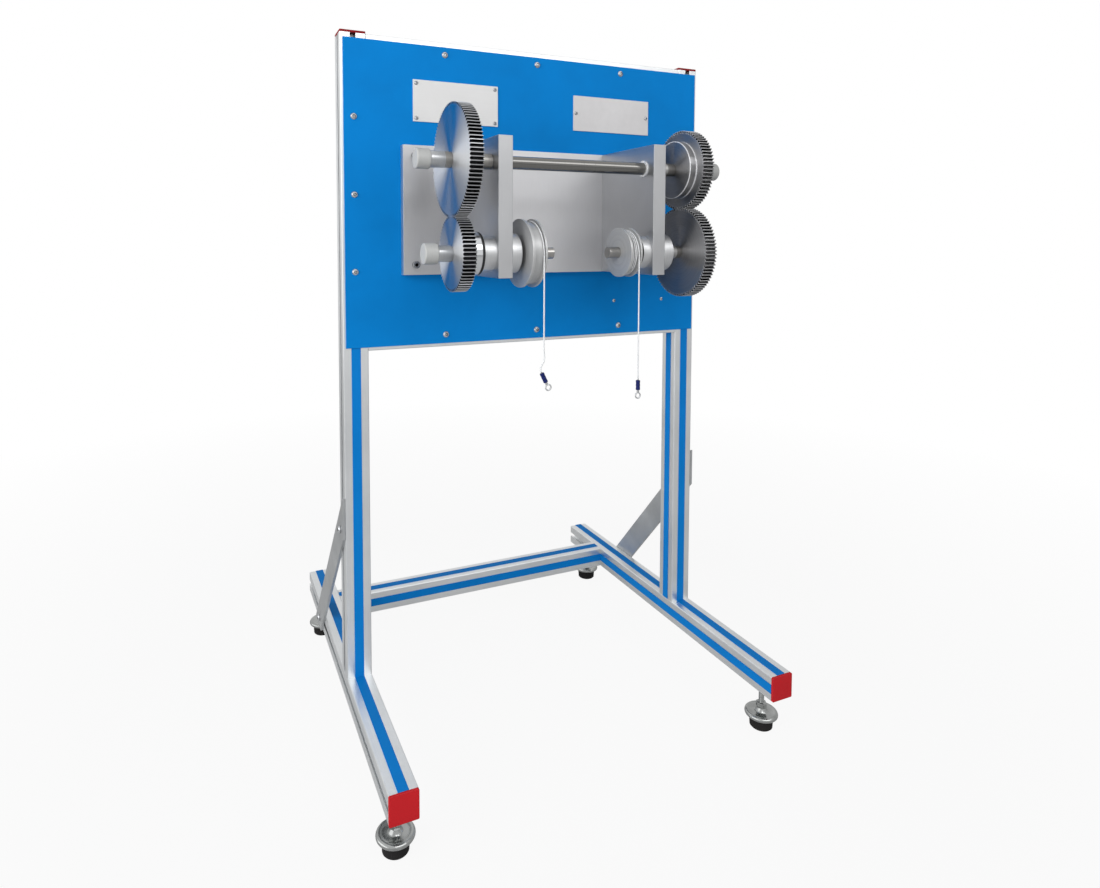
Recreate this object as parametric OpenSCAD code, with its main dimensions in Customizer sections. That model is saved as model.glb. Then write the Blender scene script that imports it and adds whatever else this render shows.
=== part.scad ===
// Geared lifting apparatus: a free-standing frame of slotted aluminium profile carries a blue panel,
// and on the panel a unit of three shafts, four change gears and two cord pulleys.
// The origin is on the floor under the middle of the stand. X runs right, Y away from the viewer, Z up.

/* [Stand] */
// Side of the square aluminium profile
profile_w = 45; // [40:1:50]
// Overall width across the two floor rails
stand_w = 750; // [720:10:900]
// Length of a floor rail
rail_len = 750; // [720:10:900]
// Length of an upright, from the rail's top to its own top
upright_len = 1145; // [1100:5:1300]
// Front end of a rail to the front face of its upright
upright_setback = 295; // [260:5:320]
// Front face of the uprights to the front face of the rear crossbar
rear_bar_setback = 297; // [290:1:330]
// Floor to the underside of the rails
rail_height = 80; // [78:1:90]
// Thickness of a red end cap
cap_t = 4; // [2:0.5:6]

/* [Profile section] */
// Width of the slot's mouth
slot_w = 10; // [8:0.5:11]
// Thickness of the lips beside the mouth
slot_lip = 4.5; // [3.5:0.5:5]
// Width of the chamber behind the lips
slot_inner_w = 20; // [18:0.5:21]
// Straight part of the chamber behind the lips
slot_straight = 3.5; // [3:0.25:4]
// Depth of the slot from the profile's face
slot_depth = 13; // [12:0.5:13.5]
// Width of the chamber's floor
slot_floor_w = 12; // [10:0.5:13]
// Bore along the profile's core
core_bore_d = 10; // [8:0.5:11]
// Radius of the profile's corners
corner_r = 2; // [1:0.25:3]

/* [Cover strips] */
// Width of a blue cover strip
strip_w = 16.5; // [13:0.5:20]
// Height of a strip above the profile's face
strip_proud = 0.8; // [0.4:0.1:1.5]
// Thickness of a strip's leg in the slot
strip_leg = 3; // [2:0.25:3.5]

/* [Braces] */
// Width of the flat bar
brace_w = 50; // [40:1:56]
// Thickness of the flat bar
brace_t = 5; // [3:0.5:8]
// Rail top to the brace's upper bolt
brace_rise = 268; // [240:2:300]
// Middle of the upright to the brace's lower bolt
brace_reach = 257; // [230:1:275]
// Bolt of the braces
brace_bolt_d = 8; // [6:0.5:9]
// Head of a brace bolt
brace_head_d = 14; // [12:0.5:16]
// Height of a brace bolt's head
brace_head_h = 5; // [4:0.5:8]

/* [Levelling feet] */
// Rail end to the middle of a foot
foot_inset = 47; // [40:1:60]
// Diameter of the dished base
foot_d = 60; // [50:1:70]
// Thickness of the dished base at its rolled rim
foot_rim = 9; // [7:0.5:11]
// Sheet thickness of the dished base
foot_sheet = 3; // [2:0.5:4]
// Diameter of the rubber pad
pad_d = 43; // [36:1:48]
// Height of the rubber pad
pad_h = 23; // [18:1:26]
// Diameter of the stud
stud_d = 10; // [8:1:12]
// Length of stud inside the rail
stud_in = 20; // [16:1:22]
// Hexagon above the base, across its flats
hex_af = 17; // [15:1:19]
// Height of the hexagon
hex_h = 10; // [8:1:12]
// Height of the neck between base and hexagon
neck_h = 10; // [6:1:13]

/* [Panel] */
// Outside of the stand to the panel's side edge
panel_margin = 5; // [0:1:12]
// Height of the blue panel
panel_h = 538; // [520:2:580]
// Thickness of the panel
panel_t = 3; // [2:0.5:6]
// Top of the uprights to the panel's upper edge
panel_drop = 9; // [5:1:15]
// Panel's lower edge to the underside of the crossbar behind it
panel_bar_below = 6.5; // [2:0.5:12]
// Panel screw, thread
panel_screw_d = 6; // [5:0.5:7]
// Panel screw, head
panel_head_d = 12; // [10:0.5:14]
// Spacing of the panel screws along the crossbars
panel_screw_dx = 186; // [160:2:210]
// Spacing of the panel screws along the uprights
panel_screw_dz = 135; // [120:1:150]

/* [Plates] */
// Title plate width
title_w = 164; // [150:2:180]
// Title plate height
title_h = 74; // [60:1:80]
// Side plate width
side_w = 174; // [150:2:180]
// Side plate height
side_h = 68; // [60:1:80]
// Thickness of both plates
plate_t = 1.5; // [1:0.25:3]
// Middle of the panel to the middle of each plate
plate_dx = 165; // [140:1:180]
// Panel's upper edge to the middle of the plates
plate_drop = 99; // [80:1:110]
// Small screw, thread
small_screw_d = 4; // [3:0.5:4.5]
// Small screw, head
small_head_d = 7.5; // [6:0.5:9]
// Panel's middle to the first of the two small screws near its lower edge
spare_x = 175; // [150:1:200]
// Spacing of those two screws
spare_dx = 116; // [90:1:130]
// Panel's lower edge to those two screws
spare_up = 67; // [50:1:80]

/* [Gear unit] */
// Width of the thick back plate
back_w = 540; // [520:2:600]
// Thickness of the back plate
back_t = 15; // [12:1:20]
// Panel's lower edge to the back plate's lower edge
back_up = 128; // [110:1:140]
// Screw of the back plate
back_screw_d = 8; // [6:1:10]
// Back plate's sides to its corner screws
back_screw_side = 22; // [18:1:26]
// Back plate's upper and lower edges to its corner screws
back_screw_edge = 18; // [14:1:22]
// Clear width between the two brackets
bracket_gap = 272; // [260:2:300]
// Thickness of a bracket
bracket_t = 25; // [20:1:30]
// Depth of a bracket in front of the back plate
bracket_depth = 174; // [160:1:190]
// Front edge of a bracket to the shafts' axes
axis_setback = 32; // [28:1:40]
// Shaft axes to the brackets' upper and lower edges
axis_margin = 40; // [38:1:50]

/* [Gears] */
// Module of the gears
gear_module = 2; // [1.8:0.05:2.1]
// Width of the gears
gear_w = 22; // [18:0.5:26]
// Teeth of the upper left gear
upper_left_teeth = 90; // [85:1:92]
// Teeth of the lower left gear
lower_left_teeth = 60; // [58:1:65]
// Teeth of the upper right gear
upper_right_teeth = 70; // [65:1:75]
// Teeth of the lower right gear
lower_right_teeth = 80; // [75:1:85]
// Left bracket to the left gears
left_gear_gap = 48; // [44:1:54]
// Right bracket to the right gears
right_gear_gap = 53; // [48:1:58]
// Diameter of the boss on the upper right gear
boss_d = 104; // [80:1:112]
// Height of that boss
boss_h = 15; // [10:1:18]
// Thinning of each tooth, for running clearance
tooth_play = 0.25; // [0.2:0.05:0.4]

/* [Shafts] */
// Upper shaft between the brackets
upper_shaft_d = 22; // [21:0.5:24]
// Gear seats of every shaft, and the two lower shafts
seat_d = 20; // [18:0.5:21]
// Threaded ends of the shafts
thread_d = 16; // [12:1:17]
// Left shaft's free end, past its pulley
left_free_end = 37; // [30:1:45]
// Right shaft's free end, past its pulley
right_free_end = 22; // [18:1:30]
// Side of the square keys
key_w = 6; // [5:0.5:6]
// Length of the keys
key_len = 16; // [12:1:17]
// Outside diameter of the plain bushes
bush_d = 26; // [25:0.5:30]
// Lip of a bush on the bracket's inner face, wider than the bush
bush_lip = 1.5; // [1:0.25:2.5]
// Thickness of that lip
bush_lip_t = 2; // [1:0.25:3]
// Bearing housing, body in the bracket's bore
housing_d = 58; // [54:1:60]
// Bearing housing, flange against the bracket
housing_flange_d = 66; // [62:1:70]
// Left housing's body, outside the bracket
left_housing_out = 23; // [18:1:26]
// Left housing's flange, inside the bracket
left_housing_in = 17; // [14:1:20]
// Right housing's flange, outside the bracket
right_housing_out = 19; // [16:1:24]
// Right housing's body, inside the bracket
right_housing_in = 16.5; // [14:0.5:20]
// Ball bearing, outside diameter
bearing_d = 47; // [42:1:52]
// Ball bearing, width
bearing_w = 14; // [12:1:16]
// Collar beside the lower left gear
collar_d = 72; // [66:1:76]
// Black seal at the collar's end
seal_w = 3.5; // [2.5:0.5:5]
// Spacer behind the upper left gear
left_spacer_d = 26; // [25:0.5:30]
// Spacers of the right gears
right_spacer_d = 23; // [22.5:0.5:26]
// Ring in front of each upper gear
ring_len = 12; // [8:1:14]

/* [Clamp knobs] */
// Hub of a knob
knob_hub_d = 27; // [25:0.5:30]
// Hub length
knob_hub_len = 24; // [20:1:28]
// Head of an upper knob
upper_knob_d = 32; // [30:1:38]
// Head length of an upper knob
upper_knob_len = 23; // [20:1:30]
// Head of a lower knob
lower_knob_d = 34; // [30:1:38]
// Head length of a lower knob
lower_knob_len = 23; // [20:1:30]
// Rounding of a knob's edges
knob_edge = 2; // [1:0.25:4]

/* [Pulleys and cords] */
// Left pulley, over its flanges
left_pulley_d = 115; // [110:1:120]
// Right pulley, over its flanges
right_pulley_d = 87; // [84:1:92]
// Depth of the grooves
groove_depth = 5.5; // [4.5:0.5:7]
// Left pulley, width
left_pulley_w = 26; // [25:0.5:30]
// Right pulley, width
right_pulley_w = 23; // [22.5:0.5:26]
// Outer flange of the pulleys
flange_t = 4; // [3:0.25:4.5]
// Thickness of the flange beside which the cord leaves
leaving_flange_t = 3; // [2:0.25:3.5]
// Left housing to its pulley
left_pulley_gap = 8; // [5:0.5:10]
// Right housing to its pulley
right_pulley_gap = 12.5; // [8:0.5:14]
// Diameter of the cords
cord_d = 2.4; // [1.8:0.1:2.5]
// Turns of cord on the left pulley
left_turns = 0.625; // [0.5:0.125:0.75]
// Turns of cord on the right pulley
right_turns = 3; // [2:1:3]
// Ferrule diameter
ferrule_d = 7.6; // [6:0.2:9]
// Ferrule length
ferrule_len = 17; // [14:0.5:20]
// Outside diameter of the eye below a ferrule
eye_d = 12; // [9:0.5:13]
// Neck between a ferrule and its eye
eye_neck = 4; // [2:0.5:6]
// Hole of the eye
eye_hole_d = 6.2; // [5:0.2:7]
// Thickness of the eye
eye_t = 2.4; // [1.6:0.1:3]

/* [Clearances] */
// Radial clearance of seated round parts
fit = 0.02; // [0.01:0.01:0.05]
// Radial clearance of a shaft in its bearing
running = 0.05; // [0.02:0.01:0.08]
// Clearance beside parts that slide in a slot
slide_gap = 0.3; // [0.1:0.05:0.4]
// Air between parts that turn past each other
air = 0.5; // [0.3:0.1:1]
// Clearance around a screw in a drilled hole
drill_gap = 0.25; // [0.1:0.05:0.4]

/* [Hidden] */
$fn = 64;
eps = 0.01;

// Stand
front_y = -(rail_len + cap_t) / 2;
rail_y0 = front_y + cap_t;
rail_y1 = rail_y0 + rail_len;
rail_z1 = rail_height + profile_w;
rail_mid_z = rail_height + profile_w / 2;
upright_y0 = rail_y0 + upright_setback;
upright_mid_y = upright_y0 + profile_w / 2;
upright_y1 = upright_y0 + profile_w;
top_z = rail_z1 + upright_len;
rear_bar_y0 = upright_y0 + rear_bar_setback;
rear_bar_mid_y = rear_bar_y0 + profile_w / 2;
out_x = stand_w / 2;
mid_x = out_x - profile_w / 2;
in_x = out_x - profile_w;
bar_len = stand_w - 2 * profile_w;
foot_ys = [rail_y0 + foot_inset, rail_y1 - foot_inset];

// Joint bolts through the profiles
bolt_d = core_bore_d - 2 * fit;
bolt_shank_d = 8;
bolt_grip = 30;
bolt_head_d = slot_floor_w - 2 * drill_gap;
bolt_head_h = 5;

// Lengths of the plugs behind the end caps and of the nuts in the slots
cap_plug_len = 10;
brace_nut_len = 20;
foot_nut_len = 30;

// Levelling feet
pad_recess = 2;
pad_chamfer = 1.5;
pad_taper = 1;
dish_step = 3;
neck_low_d = 24;
neck_top_d = 15;

// Panel
panel_w = stand_w - 2 * panel_margin;
panel_z1 = top_z - panel_drop;
panel_z0 = panel_z1 - panel_h;
panel_mid_z = (panel_z0 + panel_z1) / 2;
panel_y = upright_y0 - panel_t;
panel_bar_z0 = panel_z0 - panel_bar_below;
panel_bar_mid_z = panel_bar_z0 + profile_w / 2;
top_bar_mid_z = top_z - profile_w / 2;
panel_head_h = 3.3;
panel_nut_len = 14;
panel_screw_spots = concat(
    [for (x = [-1:1], z = [panel_bar_mid_z, top_bar_mid_z]) [x * panel_screw_dx, z]],
    [for (side = [-1, 1], k = [-1:1]) [side * mid_x, panel_mid_z + k * panel_screw_dz]]);

// Plates and small screws
plate_z = panel_z1 - plate_drop;
plate_screw_inset = 6;
small_head_h = 2.2;
small_screw_len = 7;
title_screw_spots = [for (x = [-1, 1], z = [-1, 1])
    [-plate_dx + x * (title_w / 2 - plate_screw_inset), plate_z + z * (title_h / 2 - plate_screw_inset)]];
side_screw_spots = [for (x = [-1, 1]) [plate_dx + x * (side_w / 2 - plate_screw_inset), plate_z]];
spare_screw_spots = [for (k = [0, 1]) [spare_x + k * spare_dx, panel_z0 + spare_up]];

// Gear unit
back_z0 = panel_z0 + back_up;
centre_distance = gear_module * (upper_left_teeth + lower_left_teeth) / 2;
back_h = centre_distance + 2 * axis_margin;
back_z1 = back_z0 + back_h;
back_y = panel_y - back_t;
bracket_y = back_y - bracket_depth;
bracket_in_x = bracket_gap / 2;
bracket_out_x = bracket_in_x + bracket_t;
axis_y = bracket_y + axis_setback;
lower_z = back_z0 + axis_margin;
upper_z = lower_z + centre_distance;
back_head_d = 1.6 * back_screw_d;
back_head_h = back_screw_d;
back_nut_h = 0.8 * back_screw_d;
back_screw_spots = [for (x = [-1, 1], z = [back_z0 + back_screw_edge, back_z1 - back_screw_edge])
    [x * (back_w / 2 - back_screw_side), z]];
bracket_screw_d = 8;
bracket_screw_head_d = 13;
bracket_screw_head_h = 8;
bracket_screw_grip = 22;
bracket_screw_inset = 25;
bracket_screw_room = 2;
bracket_screw_zs = [for (k = [-1:1]) (back_z0 + back_z1) / 2 + k * (back_h / 2 - bracket_screw_inset)];

// Right gear pair: its pitch circles are scaled by profile shift of the centre distance
right_module = 2 * centre_distance / (upper_right_teeth + lower_right_teeth);
left_gear_x = -(bracket_out_x + left_gear_gap);
right_gear_x = bracket_out_x + right_gear_gap;
left_outer_x = left_gear_x - gear_w;
right_outer_x = right_gear_x + gear_w;

// Shafts
lip_t = 1.5;
shoulder_x = bracket_out_x + lip_t;
thread_len = 30;
housing_step = 6;
key_rise = key_w / 2;
left_housing_x0 = -(bracket_out_x + left_housing_out);
left_housing_x1 = -(bracket_in_x - left_housing_in);
right_housing_x0 = bracket_in_x - right_housing_in;
right_housing_x1 = bracket_out_x + right_housing_out;
left_pulley_x0 = left_housing_x1 + left_pulley_gap;
left_pulley_x1 = left_pulley_x0 + left_pulley_w;
right_pulley_x1 = right_housing_x0 - right_pulley_gap;
right_pulley_x0 = right_pulley_x1 - right_pulley_w;
groove_mark_xs = [8, 30];
groove_mark_w = 1;
groove_mark_depth = 0.3;
pressure_angle = 20;
addendum = 1;
dedendum = 1.25;

// Cords: each leaves its pulley at the front and hangs straight down
loop_rings = 24;
winding_gap = 0.1;
left_groove_r = left_pulley_d / 2 - groove_depth;
right_groove_r = right_pulley_d / 2 - groove_depth;
left_cord_r = left_groove_r + winding_gap + cord_d / 2;
right_cord_r = right_groove_r + winding_gap + cord_d / 2;
left_cord_x = left_pulley_x1 - leaving_flange_t - air - cord_d / 2;
right_cord_x = right_pulley_x1 - leaving_flange_t - air - cord_d / 2;
bend_r = 2.6;
eye_neck_w = 5;

// Hanging routes, as offsets from the point where each cord leaves its winding
left_route = concat([for (k = [0:26]) [0, 0, -6 * k]],
    [[0.5, 0, -162], [1, 0, -168], [0, 0, -174], [-3.5, 0, -179]],
    [[-6, 0, -184], [-6, 0, -189], [-4, 0, -193]]);
right_route = [for (k = [0:37]) [0, 0, -6 * k]];
left_ferrule_tilt = atan2(2, 4);

aluminium = [0.72, 0.73, 0.74];
panel_blue = [0.04, 0.42, 0.72];
cap_red = [0.72, 0.13, 0.18];
steel = [0.55, 0.56, 0.58];
dark_steel = [0.25, 0.26, 0.28];
satin = [0.82, 0.82, 0.81];
cord_white = [0.93, 0.93, 0.91];
ferrule_blue = [0.10, 0.12, 0.36];

// Directions: a shape built along Z is laid along X or Y, or turned to face the viewer
module along_x() { rotate([0, 90, 0]) children(); }
module along_y() { rotate([-90, 0, 0]) children(); }
module facing_front() { rotate([90, 0, 0]) children(); }
module at_each(spots, y) {
    for (s = spots) translate([s[0], y, s[1]]) facing_front() children();
}

// A rod or tube along X between two places
module rod(x0, x1, d) { translate([x0, 0, 0]) along_x() cylinder(h = x1 - x0, d = d); }
module tube(x0, x1, d, bore) {
    difference() {
        rod(x0, x1, d);
        rod(x0 - eps, x1 + eps, bore);
    }
}

// Slotted profile, standing on the origin
module slot_2d() {
    half = profile_w / 2;
    translate([-slot_w / 2, half - slot_lip - eps]) square([slot_w, slot_lip + 2 * eps]);
    translate([-slot_inner_w / 2, half - slot_lip - slot_straight]) square([slot_inner_w, slot_straight]);
    polygon([
        [-slot_inner_w / 2, half - slot_lip - slot_straight + eps],
        [-slot_floor_w / 2, half - slot_depth],
        [slot_floor_w / 2, half - slot_depth],
        [slot_inner_w / 2, half - slot_lip - slot_straight + eps]]);
}
module profile_2d() {
    flat = profile_w - 2 * corner_r;
    difference() {
        union() {
            square([profile_w, flat], center = true);
            square([flat, profile_w], center = true);
            for (x = [-1, 1], y = [-1, 1]) translate([x * flat / 2, y * flat / 2]) circle(r = corner_r);
        }
        for (a = [0:90:270]) rotate(a) slot_2d();
        circle(d = core_bore_d);
    }
}
module profile(length) { linear_extrude(length) profile_2d(); }

// Bolt hole through the near half of a profile, from its outer slot to its inner face
module joint_hole() {
    translate([0, 0, -profile_w / 2 - eps])
        cylinder(h = profile_w + 2 * eps, d = bolt_shank_d + 2 * drill_gap);
}

// Bolt that ties a profile's core to the profile that it butts on, head in the far slot
module joint_bolt() {
    seat = -profile_w / 2 + slot_depth;
    translate([0, 0, seat - bolt_head_h]) cylinder(h = bolt_head_h, d = bolt_head_d);
    translate([0, 0, seat - eps]) cylinder(h = profile_w / 2 - seat + 2 * eps, d = bolt_shank_d);
    translate([0, 0, profile_w / 2]) cylinder(h = bolt_grip, d = bolt_d);
}

// Screws: the head's seat is at height 0, with the thread below it
module hex_socket(af, depth) { cylinder(h = depth + eps, d = af / cos(30), $fn = 6); }
module button_screw(d, head_d, head_h, length) {
    dome_r = (head_d * head_d / 4 + head_h * head_h) / (2 * head_h);
    translate([0, 0, -length]) cylinder(h = length + eps, d = d);
    difference() {
        intersection() {
            translate([0, 0, head_h - dome_r]) sphere(r = dome_r);
            cylinder(h = head_h, d = head_d);
        }
        translate([0, 0, head_h / 2]) hex_socket(0.45 * head_d, head_h / 2);
    }
}
module cap_screw(d, head_d, head_h, length) {
    translate([0, 0, -length]) cylinder(h = length + eps, d = d);
    difference() {
        cylinder(h = head_h, d = head_d);
        translate([0, 0, head_h / 2]) hex_socket(0.5 * head_d, head_h / 2);
    }
}
// Nut that slides in a profile's slot, behind the lips, its top at the lips' inner face
module slot_nut(d, length) {
    width = slot_inner_w - 2 * slide_gap;
    height = slot_straight - slide_gap;
    difference() {
        translate([-width / 2, -length / 2, -height]) cube([width, length, height]);
        translate([0, 0, -height - eps]) cylinder(h = height + 2 * eps, d = d + 2 * fit);
    }
}

// Floor rails
module rail(side) {
    translate([side * mid_x, rail_y0, rail_mid_z]) difference() {
        along_y() profile(rail_len);
        translate([0, upright_mid_y - rail_y0, 0]) joint_hole();
        translate([0, rear_bar_mid_y - rail_y0, 0]) along_x() joint_hole();
        for (y = foot_ys) translate([0, y - rail_y0, -profile_w / 2 - eps])
            cylinder(h = profile_w - corner_r, d = stud_d + 2 * slide_gap);
    }
}
module left_rail() { color(aluminium) rail(-1); }
module right_rail() { color(aluminium) rail(1); }

// Uprights
module upright(side) {
    translate([side * mid_x, upright_mid_y, 0]) difference() {
        translate([0, 0, rail_z1]) profile(upright_len);
        for (z = [panel_bar_mid_z, top_bar_mid_z]) translate([0, 0, z]) along_x() joint_hole();
    }
}
module left_upright() { color(aluminium) upright(-1); }
module right_upright() { color(aluminium) upright(1); }

// Crossbars
module crossbar(y, z) { translate([-bar_len / 2, y, z]) along_x() profile(bar_len); }
module rear_crossbar() { color(aluminium) crossbar(rear_bar_mid_y, rail_mid_z); }
module top_crossbar() { color(aluminium) crossbar(upright_mid_y, top_bar_mid_z); }
module panel_crossbar() { color(aluminium) crossbar(upright_mid_y, panel_bar_mid_z); }

// Bolts inside the butt joints of the profiles
module frame_joint_bolts() {
    color(steel) for (side = [-1, 1]) {
        translate([side * mid_x, upright_mid_y, rail_mid_z]) joint_bolt();
        translate([side * mid_x, rear_bar_mid_y, rail_mid_z]) rotate([0, -side * 90, 0]) joint_bolt();
        for (z = [panel_bar_mid_z, top_bar_mid_z])
            translate([side * mid_x, upright_mid_y, z]) rotate([0, -side * 90, 0]) joint_bolt();
    }
}

// Red caps on the rails' front ends and the uprights' tops, each with a plug in the core bore
module end_cap() {
    flat = profile_w - 2 * corner_r;
    linear_extrude(cap_t) {
        square([profile_w, flat], center = true);
        square([flat, profile_w], center = true);
        for (x = [-1, 1], y = [-1, 1]) translate([x * flat / 2, y * flat / 2]) circle(r = corner_r);
    }
    translate([0, 0, -cap_plug_len]) cylinder(h = cap_plug_len + eps, d = core_bore_d - 2 * fit);
}
module end_caps() {
    color(cap_red) for (side = [-1, 1]) {
        translate([side * mid_x, rail_y0, rail_mid_z]) facing_front() end_cap();
        translate([side * mid_x, upright_mid_y, top_z]) end_cap();
    }
}

// Blue cover strip along Z, snapped into a slot whose face is at Y = 0, seen from -Y
module cover_strip(length) {
    leg_w = slot_w - 2 * slide_gap;
    translate([-strip_w / 2, -strip_proud, 0]) cube([strip_w, strip_proud, length]);
    translate([-leg_w / 2, -eps, 0]) cube([leg_w, strip_leg + eps, length]);
}
// Cover strip along Y on a face that looks up or sideways
module rail_strip(x, z, turn, y0, y1) {
    translate([x, y0, z]) along_y() rotate(turn) cover_strip(y1 - y0);
}
module cover_strips() {
    strip_top = panel_z0 - slide_gap;
    color(panel_blue) {
        for (side = [-1, 1]) {
            translate([side * mid_x, upright_y0, rail_z1 + slide_gap])
                cover_strip(strip_top - rail_z1 - slide_gap);
            translate([side * in_x, upright_mid_y, rail_z1 + slide_gap]) rotate(-side * 90)
                cover_strip(panel_bar_z0 - rail_z1 - 2 * slide_gap);
            rail_strip(side * mid_x, rail_z1, 0, rail_y0, upright_y0 - slide_gap);
            rail_strip(side * mid_x, rail_z1, 0, upright_y1 + slide_gap, rail_y1);
            rail_strip(side * in_x, rail_mid_z, -side * 90, rail_y0, rear_bar_y0 - slide_gap);
        }
        translate([-bar_len / 2 + strip_proud + slide_gap, rear_bar_y0, rail_mid_z]) along_x()
            cover_strip(bar_len - 2 * strip_proud - 2 * slide_gap);
        translate([-bar_len / 2 + slide_gap, rear_bar_mid_y, rail_z1]) along_x() rotate(-90)
            cover_strip(bar_len - 2 * slide_gap);
    }
}

// Diagonal braces on the outer faces, cut level with the upright's front and the rail's underside
module brace_2d() {
    top = [upright_mid_y, rail_z1 + brace_rise];
    low = [upright_mid_y + brace_reach, rail_mid_z];
    run = low - top;
    overhang = 2 * brace_w;
    difference() {
        intersection() {
            translate(top) rotate(atan2(run[1], run[0]))
                translate([-overhang, -brace_w / 2]) square([norm(run) + 2 * overhang, brace_w]);
            translate([upright_y0, rail_height]) square([2 * rail_len, 2 * upright_len]);
        }
        for (p = [top, low]) translate(p) circle(d = brace_bolt_d + 2 * drill_gap);
    }
}
module brace(side) {
    translate([side > 0 ? out_x : -out_x - brace_t, 0, 0])
        rotate([90, 0, 90]) linear_extrude(brace_t) brace_2d();
}
module left_brace() { color(aluminium) brace(-1); }
module right_brace() { color(aluminium) brace(1); }
module brace_bolts() {
    spots = [[upright_mid_y, rail_z1 + brace_rise, 0], [upright_mid_y + brace_reach, rail_mid_z, 90]];
    color(steel) for (side = [-1, 1], s = spots)
        translate([side * (out_x + brace_t), s[0], s[1]]) rotate([0, side * 90, 0]) rotate(90 + s[2]) {
            button_screw(brace_bolt_d, brace_head_d, brace_head_h, brace_t + slot_lip + slot_straight);
            translate([0, 0, -brace_t - slot_lip]) slot_nut(brace_bolt_d, brace_nut_len);
        }
}

// Threaded inserts in the rails' lower slots, which carry the feet
module foot_inserts() {
    color(steel) for (side = [-1, 1], y = foot_ys)
        translate([side * mid_x, y, rail_height + slot_lip]) rotate([180, 0, 0])
            difference() {
                slot_nut(stud_d, foot_nut_len);
                cylinder(h = profile_w, d = stud_d + 2 * running, center = true);
            }
}

// Levelling foot: stud, hexagon and dished base, which turn and rise together
module foot() {
    rim_r = foot_rim / 2;
    base_z = pad_h - pad_recess;
    floor_z = pad_h;
    hex_z = floor_z + foot_sheet + neck_h;
    rotate_extrude() {
        translate([foot_d / 2 - rim_r, base_z + rim_r]) circle(r = rim_r);
        polygon([
            [0, floor_z],
            [pad_d / 2 + air, floor_z],
            [foot_d / 2 - rim_r, base_z],
            [foot_d / 2 - rim_r, base_z + foot_rim],
            [pad_d / 2 - dish_step, floor_z + foot_sheet],
            [0, floor_z + foot_sheet]]);
    }
    translate([0, 0, floor_z]) cylinder(h = hex_z - floor_z, d1 = neck_low_d, d2 = neck_top_d);
    translate([0, 0, hex_z - eps]) cylinder(h = hex_h, d = hex_af / cos(30), $fn = 6);
    translate([0, 0, hex_z]) cylinder(h = rail_height + stud_in - hex_z, d = stud_d);
}
module pad() {
    lip = pad_h - pad_recess - slide_gap;
    rotate_extrude() polygon([
        [0, 0],
        [pad_d / 2 - pad_taper - pad_chamfer, 0],
        [pad_d / 2 - pad_taper, pad_chamfer],
        [pad_d / 2, lip],
        [pad_d / 2, pad_h],
        [0, pad_h]]);
}
module foot_at(side, k) { translate([side * mid_x, foot_ys[k], 0]) children(); }
module front_left_foot() { color(steel) foot_at(-1, 0) foot(); }
module front_right_foot() { color(steel) foot_at(1, 0) foot(); }
module rear_left_foot() { color(steel) foot_at(-1, 1) foot(); }
module rear_right_foot() { color(steel) foot_at(1, 1) foot(); }
module front_left_pad() { color("black") foot_at(-1, 0) pad(); }
module front_right_pad() { color("black") foot_at(1, 0) pad(); }
module rear_left_pad() { color("black") foot_at(-1, 1) pad(); }
module rear_right_pad() { color("black") foot_at(1, 1) pad(); }

// Blue panel and its screws, each held by a nut in the profile's slot
module panel() {
    color(panel_blue) difference() {
        translate([-panel_w / 2, panel_y, panel_z0]) cube([panel_w, panel_t, panel_h]);
        at_each(panel_screw_spots, upright_y0 + eps)
            cylinder(h = panel_t + 2 * eps, d = panel_screw_d + 2 * drill_gap);
        at_each(concat(title_screw_spots, side_screw_spots, spare_screw_spots), upright_y0 + eps)
            cylinder(h = panel_t + 2 * eps, d = small_screw_d + 2 * fit);
        at_each(back_screw_spots, upright_y0 + eps)
            cylinder(h = panel_t + 2 * eps, d = back_screw_d + 2 * drill_gap);
    }
}
module panel_screws() {
    color(steel) for (s = panel_screw_spots) {
        turn = abs(s[0]) == mid_x ? 0 : 90;
        translate([s[0], panel_y, s[1]]) facing_front() {
            button_screw(panel_screw_d, panel_head_d, panel_head_h, panel_t + slot_lip + slot_straight);
            translate([0, 0, -panel_t - slot_lip]) rotate(turn) slot_nut(panel_screw_d, panel_nut_len);
        }
    }
}

// Two bare plates on the panel
module bare_plate(x, width, height, spots) {
    difference() {
        translate([x - width / 2, panel_y - plate_t, plate_z - height / 2]) cube([width, plate_t, height]);
        at_each(spots, panel_y + eps) cylinder(h = plate_t + 2 * eps, d = small_screw_d + 2 * drill_gap);
    }
}
module title_plate() { color(satin) bare_plate(-plate_dx, title_w, title_h, title_screw_spots); }
module side_plate() { color(satin) bare_plate(plate_dx, side_w, side_h, side_screw_spots); }
module small_screws() {
    color(steel) {
        at_each(concat(title_screw_spots, side_screw_spots), panel_y - plate_t)
            button_screw(small_screw_d, small_head_d, small_head_h, small_screw_len);
        at_each(spare_screw_spots, panel_y)
            button_screw(small_screw_d, small_head_d, small_head_h, small_screw_len);
    }
}

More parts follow.
